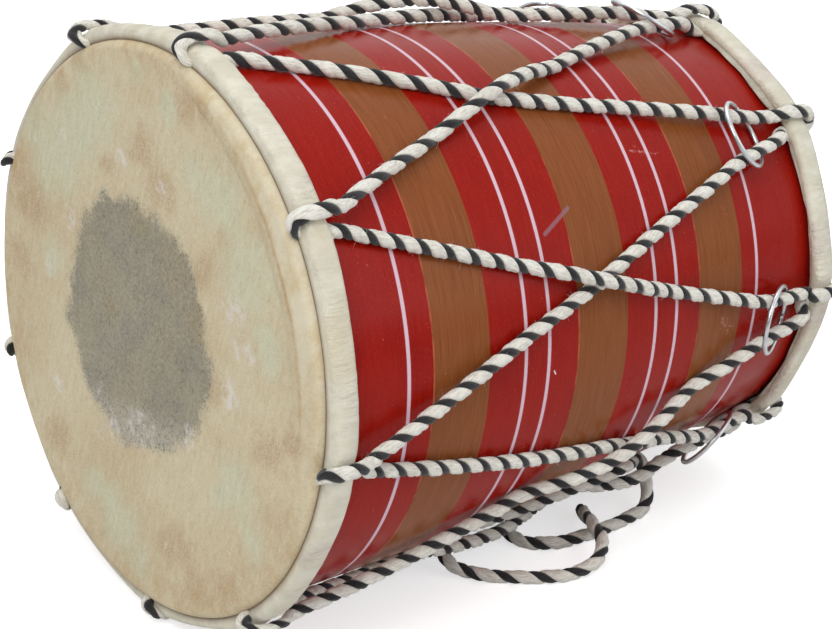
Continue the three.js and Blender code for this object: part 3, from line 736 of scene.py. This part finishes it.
def make_shell():
    f = SHELL["fillet"]
    arc = lambda cx, cr, a0, a1, n: [(cx + f * math.cos(math.radians(a0 + (a1 - a0) * i / n)),
                                      cr + f * math.sin(math.radians(a0 + (a1 - a0) * i / n)))
                                     for i in range(n + 1)]
    prof = arc(f, shell_radius(0) - f, 180, 90, 6)
    prof += [(x, shell_radius(x)) for x in np.linspace(f, LENGTH - f, 74)[1:-1]]
    prof += arc(LENGTH - f, shell_radius(LENGTH) - f, 90, 0, 6)
    outer = len(prof)
    for i in range(BORE_STEPS, -1, -1):
        x = LENGTH * i / BORE_STEPS
        swell = (SHELL["belly_wall"] - SHELL["mouth_wall"]) * math.sin(math.pi * i / BORE_STEPS)
        wall = SHELL["mouth_wall"] + swell
        prof.append((x, shell_radius(x) - wall))
    verts = turned(prof, SHELL_SEGMENTS)
    faces = grid_faces(len(prof), SHELL_SEGMENTS, close_rows=True)
    ob = new_object("barrel", verts, faces)
    ob.data.materials.append(shell_material())
    ob.data.materials.append(wood_material())
    idx = np.repeat(np.where((np.arange(len(prof)) >= outer - 1), 1, 0), SHELL_SEGMENTS)
    ob.data.polygons.foreach_set("material_index", idx.tolist())
    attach(ob, "drum")
    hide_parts("shell")


make_shell()


# The heads
def angle_gap(a, b):
    return np.abs((a - b + 540) % 360 - 180)


def hoop_dip(end, deg):
    lift = np.zeros_like(deg)
    for lace in ANGLES[end]:
        share = np.minimum(angle_gap(deg, lace) / (180 / N), 1)
        lift = np.maximum(lift, np.cos(share * math.pi / 2) ** 2)
    return DIP[end] * (1 - lift)


def ripples(deg, period, seed):
    """Smooth noise round the drum, one swing per period of degrees."""
    r = np.random.default_rng(seed)
    n = int(round(360 / period))
    k = r.normal(size=n)
    pos = (deg % 360) / 360 * n
    i = np.floor(pos).astype(int) % n
    t = pos - np.floor(pos)
    t = t * t * (3 - 2 * t)
    return k[i] * (1 - t) + k[(i + 1) % n] * t


def head_profile():
    """(kind, distance from the mouth or lip angle, height, share of the puckering, zone)"""
    f = SHELL["fillet"]
    outer = f + HEAD["seat"] + HEAD["skin"]
    rows = []
    for i in range(15):
        a = math.radians(180 - 80 * i / 14)
        rows.append(("lip", f + outer * math.cos(a), outer * math.sin(a), 0.0, i / 14))
    top = BAND_TOP
    roll = [(2.15, 1.5, 0, 1.3), (2.3, 1.4, .1, 1.6), (2.1, 1.9, .2, 1.8), (1.85, 2.9, .35, 2.0),
            (1.75, 4.1, .5, 2.1), (1.85, 5.3, .7, 2.2), (2.2, 6.5, .85, 2.3), (2.8, 7.6, 1, 2.4),
            (3.7, 8.5, 1, 2.5), (4.8, top, 1, 2.6), (6.2, top + .25, 1, 2.7), (7.8, top + .3, 1, 2.8),
            (9.4, top + .25, 1, 3), (11, top + .1, 1, 3), (12.4, top - .05, 1, 3),
            (13.5, top - .35, 1, 3), (14.35, top - 1.0, 1, 3), (14.9, top - 1.9, 1, 3),
            (15.15, top - 3.0, 1, 3), (15.05, top - 4.2, .9, 3), (14.6, top - 5.4, .8, 3),
            (14.4, 3.4, .3, 3.3), (15.3, 3.1, 0, 3.5), (15.7, 2.6, 0, 3.5), (15.4, 2.0, 0, 3.5),
            (13.6, 1.7, 0, 3.5), (10, 1.6, 0, 3.5)]
    rows += [("roll", *row) for row in roll]
    return rows


# The swollen lip inside the band: where it starts and ends round the drum, and its inner edge
BEAD_ANGLES = (97, 112, 168, 200)
BEAD_INNER = [(95, 118.5), (108, 116.5), (125, 112), (150, 107.5), (180, 107), (200, 107)]
BEAD_RISE = 1.25
HEAD_SEGMENTS = 1440


def rope_press(end, deg, arc_mm):
    """Where the rope lies over the roll, it presses the hide in."""
    press = np.zeros(len(deg))
    for b in ANGLES[end]:
        over = b - side_step(ALONG[end](9), OVER, ROPE["leg"] * 0.88)
        press = np.maximum(press, np.exp(-(angle_gap(deg, over) * arc_mm / 4.4) ** 2))
    return press


def bead_rise(deg):
    lo0, lo1, hi0, hi1 = BEAD_ANGLES
    ease = lambda t: np.clip(t, 0, 1) ** 2 * (3 - 2 * np.clip(t, 0, 1))
    return BEAD_RISE * ease((deg - lo0) / (lo1 - lo0)) * ease((hi1 - deg) / (hi1 - hi0))


def make_head(end, name):
    prof = head_profile()
    seg = HEAD_SEGMENTS
    deg = np.arange(seg) * 360 / seg
    a = np.radians(deg)
    at = ALONG[end]
    mouth = shell_radius(at(0)) - SHELL["fillet"]
    dip = hoop_dip(end, deg)
    nearest = np.min([angle_gap(deg, b) for b in ANGLES[end]], axis=0)
    arc_mm = math.radians(1) * shell_radius(at(10))
    press = rope_press(end, deg, arc_mm)
    pinch = np.exp(-(nearest * arc_mm / 9) ** 2)
    patchy = np.clip(ripples(deg, 11, 31) * 0.6 + 0.45, 0.1, 1.4)
    fine = (ripples(deg, 1.5, 5) * 0.5 + ripples(deg, 0.8, 6) * 0.4) * patchy
    mid = ripples(deg, 5.5, 7)
    broad = ripples(deg, 14, 8)
    wide = ripples(deg, 24, 9)
    rise = np.zeros(seg)
    inner_edge = np.full(seg, 117.0)
    if end == "bass":
        rise = bead_rise(deg) * (1 + 0.1 * mid)
        inner_edge = np.interp(deg, *zip(*BEAD_INNER))
    # the slack edge under the treble roll shows most round the top of the near side
    collar = np.full(seg, -1.2)
    if end == "treble":
        slack = np.exp(-((angle_gap(deg, 118) / 30) ** 4)) * 3.4 + 0.5 * mid - 0.4
        collar = slack * (1 - pinch) - 2.0 * pinch
    verts, zones = [], []

    def face_x(r, x):
        """The bead lifts the hide off the flat between its inner edge and the crease."""
        t = np.clip((r - inner_edge) / np.maximum(mouth + 3.2 - inner_edge, 1), 0, 1)
        lift = rise * np.sin(np.pi * t ** 0.8) ** 1.2
        return x - lift

    for kind, u, h, share, zone in prof:
        if kind == "lip":
            rr = np.full(seg, mouth + h) - dip * max(0.0, (u + 0.5) / 7) * 0.25
            uu = face_x(rr, np.full(seg, u))
        else:
            t = (u - 2.5) / 12.5
            uu = u + share * (0.25 * broad * (t - 0.2) + 0.35 * wide * max(0, t - 0.3)
                              + 0.14 * fine * max(0, t - 0.5) * 2 + 0.5 * pinch * (0.35 - t))
            if zone > 3.2 and u > 15:
                uu = uu + collar
            if zone < 2.5:
                uu = uu + 0.12 * mid * min(1, zone - 1.5)
            along = min(max((u - HEAD["dip_start"]) / (HEAD["flare"] - HEAD["dip_start"]), 0), 1)
            under = 1 if h > 4 else h / 4
            rr = shell_radius(at(u)) + h - dip * along * min(1, max(0, (h - 1.2) / 5))
            rr = rr - share * under * 0.75 * press
            rr = rr + share * under * (0.11 * mid + (0.09 + 0.12 * pinch) * fine * (0.5 + t)
                                       + 0.16 * broad * (1 - press))
        verts.append(np.stack([np.array([at(v) for v in uu]), rr * np.cos(a), rr * np.sin(a)], 1))
        zones.append(np.full(seg, zone))
    # the flat membrane, in rings inward from the lip
    for r in list(np.linspace(mouth - 0.8, mouth - 17, 22)) + list(np.linspace(mouth - 22, 4, 20)):
        uu = face_x(np.full(seg, r), np.full(seg, -1.5))
        verts.insert(0, np.stack([np.array([at(v) for v in uu]), r * np.cos(a), r * np.sin(a)], 1))
        zones.insert(0, np.zeros(seg))
    rings = len(verts)
    flat = np.vstack(verts + [np.array([[at(-1.5), 0, 0]])])
    zones = np.concatenate(zones + [np.zeros(1)])
    faces = [tuple(f) for f in grid_faces(rings, seg)]
    c = len(flat) - 1
    faces += [(c, (j + 1) % seg, j) for j in range(seg)]
    if end == "treble":
        faces = [f[::-1] for f in faces]
    ob = new_object(name, flat, faces)
    mark_points(ob, "zone", "FLOAT", zones)
    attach(ob, "drum")
    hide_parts(end + "_head")
    return ob


# Fields of colour on the bass membrane: (y, z, size) in mm on its face
GREENS = [(75, 64, 27), (40, 94, 25), (56, 80, 26), (87, 73, 19), (-59, 73, 22), (-78, 45, 25),
          (-92, 17, 16), (-40, 80, 13), (-19, 102, 12), (-66, -54, 20), (-78, -73, 13),
          (-55, -61, 10), (30, -95, 22), (12, -108, 13), (47, -85, 13), (2, 113, 8), (78, 17, 13)]
OCHRES = [(-36, 104, 12), (-50, 108, 10), (-12, 69, 15), (30, 69, 10), (2, 83, 12), (94, 40, 17),
          (106, 50, 14), (106, 9, 13), (-62, 57, 8), (-43, 40, 12), (-19, -95, 18),
          (-36, -108, 15), (-55, -99, 13), (78, -66, 15), (-90, -26, 15), (-109, -19, 10),
          (-50, -14, 11), (64, 97, 11), (87, 85, 10)]
SCUFFS = [(16, 76, 7), (-12, 67, 6), (-69, 26, 12), (-62, -12, 9), (-74, 10, 8), (87, 66, 3),
          (66, 71, 5), (78, -45, 7), (40, -36, 5), (42, -57, 5), (64, 36, 7), (83, 12, 7),
          (-59, -80, 3), (7, -83, 4), (-29, -40, 7), (8, -47, 13), (28, -52, 8)]
# The stain: its middle (y, z), and how far from it, in metres, it starts and ends its fading
PATCH = (8.5, 0.7)
PATCH_EDGES = (0.0690, 0.0755)
DUSKS = [(-24, 38, 24), (-42, 14, 17), (6, 50, 12), (30, 4, 10)]
# Thin scratches, each from one (y, z) to another
NICKS = [((-17, -57), (-43, -92)), ((-6, -84), (-12, -98)), ((64, -30), (52, -41)),
         ((-96, -14), (-97, -30))]


def blobs(m, at, spots, grain, soft=0.3):
    """Ragged fields round the spots, their edges broken by a noise."""
    field = -1.0
    for y, z, r in spots:
        d = m.vmath("DISTANCE", at, (0, y * MM, z * MM))
        field = m.math("MAXIMUM", field, m.math("MULTIPLY_ADD", d, -1 / (r * MM), 1.0))
    return m.ramp(m.math("ADD", field, m.math("MULTIPLY_ADD", grain, 1.3, -0.65)), -0.05, soft)


def warped(m, f, much):
    """The place on the head's face, shifted by the warp."""
    return m.vmath("ADD", f.flat, m.vmath("SCALE", f.warp, scale=much))


def hide_fields(m):
    """The places and noises that the hide's colours share."""
    f = SimpleNamespace(co=m.coords())
    f.x, f.y, f.z = m.split(f.co)
    f.flat = m.join(0.0, f.y, f.z)
    f.rad = m.vmath("LENGTH", f.flat)
    f.warp = m.vmath("SUBTRACT", m.noise(f.flat, 32, 4, 0.6, colour=True), (0.5, 0.5, 0.5))
    f.bent = warped(m, f, 0.022)
    f.fine = m.noise(f.co, 420, 5, 0.7)
    f.pore = m.noise(f.co, 1500, 3, 0.6)
    f.rough = m.noise(f.co, 75, 7, 0.75)
    f.sand = m.noise(f.co, 900, 5, 0.75)
    f.zone = m.node("ShaderNodeAttribute", attribute_name="zone").outputs["Fac"]
    return f


def membrane(m, f, end):
    """Tan, sandy hide with soft green-grey and ochre fields, darker at the rim."""
    mouth = (shell_radius(ALONG[end](0)) - SHELL["fillet"]) * MM
    skin = m.mix(m.ramp(m.noise(f.bent, 17, 4, 0.55), 0.35, 0.68), (216, 203, 170),
                 (206, 189, 153))
    skin = m.layers(skin, [(m.noise(f.bent, 40, 6, 0.7), 0.46, 0.72, 0, 0.4, (199, 176, 139))])
    if end == "bass":
        green = blobs(m, f.bent, GREENS, f.rough, 0.75)
        ochre = blobs(m, f.bent, OCHRES, f.rough, 0.7)
    else:
        green = m.ramp(m.noise(f.bent, 12, 3), 0.5, 0.66)
        ochre = m.ramp(m.noise(f.bent, 15, 3), 0.54, 0.7)
    skin = m.mix(m.times(ochre, m.ramp(f.sand, 0.36, 0.6, 0.3, 0.72)), skin, (186, 155, 116))
    skin = m.mix(m.times(green, m.ramp(f.rough, 0.3, 0.6, 0.75, 1.0)), skin, (208, 207, 177))
    along = m.join(0.0, m.math("MULTIPLY_ADD", f.z, 0.35, f.y), m.times(f.z, 0.3))
    fibre = m.noise(along, 330, 7, 0.8)
    skin = m.layers(skin, [
        (f.sand, 0.5, 0.72, 0, 0.42, (170, 142, 108)),
        (fibre, 0.5, 0.68, 0, 0.32, (176, 149, 110)),
        (fibre, 0.32, 0.5, 0.45, 0, (228, 221, 196)),
        (f.fine, 0.5, 0.75, 0, 0.25, (180, 152, 116)),
        (f.pore, 0.5, 0.72, 0, 0.42, (236, 230, 212))])
    rim = m.ramp(f.rad, mouth - 0.026, mouth + 0.001, 0, 1)
    return m.mix(m.times(rim, m.ramp(f.rough, 0.42, 0.7, 0, 0.55)), skin, (186, 148, 102))


def paste_stain(m, f, skin):
    """The paste's mottled stain on the bass membrane, with worn scuffs and nicks over it."""
    d = m.vmath("DISTANCE", warped(m, f, 0.016), (0, PATCH[0] * MM, PATCH[1] * MM))
    d = m.math("MULTIPLY_ADD", f.rough, 0.016, m.math("MULTIPLY_ADD", f.sand, 0.016, d))
    patch = m.ramp(d, *PATCH_EDGES, 1, 0)
    mottled = m.ramp(m.noise(f.co, 560, 6, 0.8), 0.36, 0.64)
    shade = m.ramp(m.noise(f.bent, 34, 5, 0.6), 0.4, 0.6)
    core = m.mix(shade, m.mix(mottled, (72, 75, 76), (122, 124, 120)),
                 m.mix(mottled, (94, 93, 84), (148, 146, 132)))
    core = m.layers(core, [(f.rough, 0.42, 0.6, 0, 0.4, (142, 138, 124))])
    dusky = blobs(m, f.bent, DUSKS, f.rough, 0.8)
    core = m.mix(m.times(dusky, 0.6), core, m.mix(mottled, (92, 80, 58), (150, 136, 106)))
    pale = m.times(m.ramp(f.z, -0.030, -0.046), m.ramp(f.sand, 0.35, 0.6))
    core = m.mix(m.times(pale, 0.75), core, (184, 178, 173))
    skin = m.mix(m.times(patch, m.ramp(f.sand, 0.3, 0.55, 0.95, 0.62)), skin, core)
    scuff = blobs(m, f.bent, SCUFFS, m.noise(f.co, 130, 7, 0.8), 0.5)
    wear = m.ramp(m.noise(warped(m, f, 0.012), 170, 7, 0.8), 0.45, 0.6)
    skin = m.mix(m.times(m.times(scuff, wear), 0.62), skin, (230, 224, 222))
    for p, q in NICKS:
        d = segment(m, f.bent, (0, p[0] * MM, p[1] * MM), (0, q[0] * MM, q[1] * MM))
        nick = m.times(m.ramp(d, 0.0002, 0.0006, 1, 0), m.ramp(f.sand, 0.4, 0.55))
        skin = m.mix(m.times(nick, 0.6), skin, (232, 222, 196))
    return skin


def swollen_lip(m, f, skin):
    """The swollen lip is paler, partly its own paler hide and partly a painted highlight, with a painted
    shade line in tan at its inner edge.
    """
    turn = m.times(m.math("ARCTAN2", f.z, f.y), 180 / math.pi)
    turn = m.math("ADD", turn, m.times(m.math("LESS_THAN", turn, -90.0), 360.0))
    on = m.times(m.ramp(turn, 96, 112), m.ramp(turn, 162, 196, 1, 0))
    inner = m.times(m.ramp(turn, 104, 150, 121.0, 114.0, smooth=False), MM)
    off = m.math("SUBTRACT", f.rad, inner)
    # painted highlight: the swollen lip is painted paler where it catches the light, over its own paler
    # hide
    bead = m.times(on, m.ramp(off, 0.0005, 0.0035))
    skin = m.mix(m.times(bead, 0.7), skin,
                 m.mix(m.ramp(f.rough, 0.4, 0.65), (226, 218, 194), (216, 200, 162)))
    # painted shade: a tan line along the foot of the lip at its inner edge
    line = m.times(m.ramp(off, -0.0012, 0.0), m.ramp(off, 0.0006, 0.0022, 1, 0))
    late = m.times(m.ramp(turn, 120, 150), m.ramp(turn, 176, 204, 1, 0))
    return m.mix(m.times(m.times(line, late), m.ramp(f.rough, 0.35, 0.6, 0.1, 0.6)),
                 skin, (186, 146, 100))


def roll_colour(m, f):
    """Smooth ivory hide, with painted shade greying the slack edge under the roll."""
    a = m.noise(m.join(m.times(f.x, 0.4), f.y, f.z), 130, 4, 0.6)
    ivory = m.mix(m.ramp(a, 0.3, 0.7), (210, 204, 184), (228, 223, 206))
    ivory = m.layers(ivory, [
        (m.noise(f.co, 24, 4), 0.48, 0.7, 0, 0.6, (214, 201, 170)),
        (m.noise(f.co, 31, 4), 0.54, 0.7, 0, 0.5, (196, 180, 172)),
        (f.pore, 0.5, 0.75, 0, 0.3, (242, 238, 226))])
    # painted shade: the slack edge tucked under the roll is greyed
    return m.mix(m.ramp(f.zone, 3.2, 3.5, 0, 0.8), ivory,
                 m.mix(m.ramp(f.rough, 0.35, 0.65), (150, 138, 126), (196, 184, 168)))


def hide_material(end):
    m = Mat(end + "_hide")
    f = hide_fields(m)
    skin = membrane(m, f, end)
    if end == "bass":
        skin = swollen_lip(m, f, paste_stain(m, f, skin))
    # painted shade: the crease between the lip and the roll is darkened to a brown line
    crease = m.times(m.ramp(f.zone, 1.0, 1.45), m.ramp(f.zone, 1.75, 2.25, 1, 0))
    tone = m.mix(m.ramp(f.zone, 1.5, 1.85), skin, roll_colour(m, f))
    m.give("Base Color", m.mix(m.times(crease, 0.8), tone, (112, 86, 58)))
    m.give("Roughness", m.ramp(f.fine, 0.3, 0.8, 0.5, 0.72))
    m.give("Specular IOR Level", 0.3)
    m.give("Subsurface Weight", 0.05)
    m.give("Subsurface Radius", (0.004, 0.0025, 0.0015))
    wide = m.bump(m.noise(f.co, 34, 3), 0.3, 0.0012)
    tucks = m.noise(m.join(m.times(f.x, 0.18), f.y, f.z), 620, 3, 0.5)
    tucks = m.times(m.times(tucks, m.ramp(f.zone, 2.2, 2.5)),
                    m.ramp(m.noise(f.co, 30, 2), 0.46, 0.6, 0.3, 2.2))
    height = m.math("ADD", m.times(f.fine, 0.5), m.times(f.pore, 0.35))
    height = m.math("ADD", height, m.times(tucks, 2.2))
    m.give("Normal", m.bump(height, 0.5, 0.0007, wide))
    return m.m


for end_name in ("bass", "treble"):
    skin_ob = make_head(end_name, end_name + "_skin")
    skin_ob.data.materials.append(hide_material(end_name))


# The tuning rings
def steel_material():
    m = Mat("plated_wire")
    co = m.coords()
    n = m.noise(co, 700, 4, 0.6)
    dull = m.noise(co, 120, 3)
    m.give("Base Color", m.mix(m.ramp(dull, 0.4, 0.7), (222, 225, 228), (198, 202, 206)))
    m.give("Metallic", 1)
    m.give("Roughness", m.ramp(n, 0.3, 0.7, 0.28, 0.36))
    return m.m


steel = steel_material()


def make_ring(k):
    x = ring_place(k)
    h = ROPE["ring_lift"] + RING["rise"]
    deg = TREBLE_ANGLES[k] + RING_SAGS[k]
    centre = drum_point(x, deg, shell_radius(x) + h)
    ahead = drum_point(x + RING["wire"], deg, shell_radius(x + RING["wire"]) + h)
    along = (ahead - centre) / np.linalg.norm(ahead - centre)
    a = math.radians(deg)
    across = np.array((0, -math.sin(a), math.cos(a)))
    out = np.cross(across, along)
    out /= np.linalg.norm(out)
    if out @ drum_point(0, deg, 1) < 0:
        out = -out
    down = along * math.cos(RING["tilt"]) - out * math.sin(RING["tilt"])
    face = np.cross(down, across)
    # a ring bent from wire, its ends meeting in a butt joint
    seg, sides = 120, 20
    joint = (0.35 + 0.23 * k) % 1 * TAU
    gap = RING["joint_gap"]
    t = joint + gap / 2 + np.linspace(0, 1, seg) * (TAU - gap)
    psi = np.arange(sides) * TAU / sides
    swell = 1 - RING["joint_neck"] * np.exp(-(np.minimum(np.arange(seg), np.arange(seg)[::-1]) / 0.7) ** 2)
    off = RING["joint_step"] * np.cos((t - joint) / 2)
    verts = []
    for i in range(seg):
        d = down * math.cos(t[i]) + across * math.sin(t[i])
        c = centre + d * RING["mean"] + face * off[i]
        w = RING["wire"] * swell[i]
        for p in psi:
            verts.append(c + d * math.cos(p) * w + face * math.sin(p) * w)
    faces = [tuple(f) for f in grid_faces(seg, sides)]
    faces.append(tuple(range(sides))[::-1])
    faces.append(tuple((seg - 1) * sides + j for j in range(sides)))
    ob = new_object(f"wire_ring_{k + 1}", verts, faces)
    ob.data.materials.append(steel)
    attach(ob, f"tuning_ring_{k + 1}")
    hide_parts(f"ring_{k + 1}")


for k in range(N):
    make_ring(k)


# The hidden hoops and paste keep their solids
def cane_material():
    m = Mat("cane_strip")
    n = m.noise(m.coords(), 160, 4, 0.6)
    return m.mottle(n, (150, 110, 62), (196, 158, 100), 0.6, 0.3, 0.0004)


def paste_material():
    m = Mat("paste")
    n = m.noise(m.coords(), 260, 5, 0.7)
    return m.mottle(n, (34, 32, 30), (70, 66, 60), 0.9, 0.5, 0.0008)


cane, paste = cane_material(), paste_material()
for node, mat in (("bass_hoop", cane), ("treble_hoop", cane), ("tuning_paste", paste)):
    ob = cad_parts[node]
    ob.data.materials.clear()
    ob.data.materials.append(mat)


# Floor, world and lamps
FLOOR_HALF = 12.0
FLOOR_GLOW = 0.62
SKY = dict(colour=(0.93, 0.96, 1.0), strength=0.42)
# Glossy rays see a white room that dims towards this direction
GLOSS_FROM = (-0.57, -0.75, 0.33)
GLOSS_DIM = (0.05, 0.62, 1.0, 0.14)
WHITE = (1, 1, 1)
LAMPS = [
    ("key", (-1.2, -0.9, 1.9), 1.3, 26, (1.0, 0.98, 0.95)),
    ("fill", (0.9, -1.7, 1.1), 1.4, 9, (0.95, 0.97, 1.0)),
    ("top", (0.3, 0.8, 2.2), 1.6, 14, WHITE),
]
LAMP_AIM = Vector((0, 0, 0.12))


def make_floor():
    me = bpy.data.meshes.new("floor")
    s = FLOOR_HALF
    me.from_pydata([(-s, -s, 0), (s, -s, 0), (s, s, 0), (-s, s, 0)], [], [(0, 1, 2, 3)])
    floor = add_object("floor", me)
    m = Mat("pale_floor")
    m.give("Base Color", (0.8, 0.8, 0.8, 1))
    m.give("Roughness", 0.8)
    m.give("Specular IOR Level", 0.1)
    path = m.node("ShaderNodeLightPath").outputs["Is Camera Ray"]
    plain = m.b.outputs[0]
    glow = m.node("ShaderNodeEmission", ins={"Color": WHITE, "Strength": FLOOR_GLOW}).outputs[0]
    lit = m.node("ShaderNodeAddShader", ins={0: plain, 1: glow}).outputs[0]
    m.set(m.t.nodes["Material Output"].inputs[0], m.blend(path, plain, lit))
    me.materials.append(m.m)


def make_world():
    world = bpy.data.worlds.new("world")
    bpy.context.scene.world = world
    w = Nodes(world)
    w.t.nodes.clear()

    def background(colour, strength):
        n = w.node("ShaderNodeBackground", ins={"Color": colour, "Strength": strength})
        return n.outputs[0]

    path = w.node("ShaderNodeLightPath").outputs
    way = w.node("ShaderNodeTexCoord").outputs["Generated"]
    dim = w.ramp(w.vmath("DOT_PRODUCT", way, GLOSS_FROM), *GLOSS_DIM)
    mirrored = w.blend(path["Is Glossy Ray"], background(**SKY), background(WHITE, dim))
    direct = w.math("ADD", path["Is Camera Ray"], path["Is Transmission Ray"], clamp=True)
    seen = w.blend(direct, mirrored, background(WHITE, 1.0))
    w.node("ShaderNodeOutputWorld", ins={"Surface": seen})


def make_lamp(name, where, size, power, colour):
    la = bpy.data.lights.new(name, "AREA")
    la.shape = "SQUARE"
    la.size = size
    la.energy = power
    la.color = colour
    ob = add_object(name, la)
    ob.location = where
    ob.rotation_euler = (LAMP_AIM - Vector(where)).to_track_quat("-Z", "Y").to_euler()


def make_stage():
    bpy.context.scene.view_settings.view_transform = "Standard"
    make_floor()
    make_world()
    for lamp in LAMPS:
        make_lamp(*lamp)


make_stage()
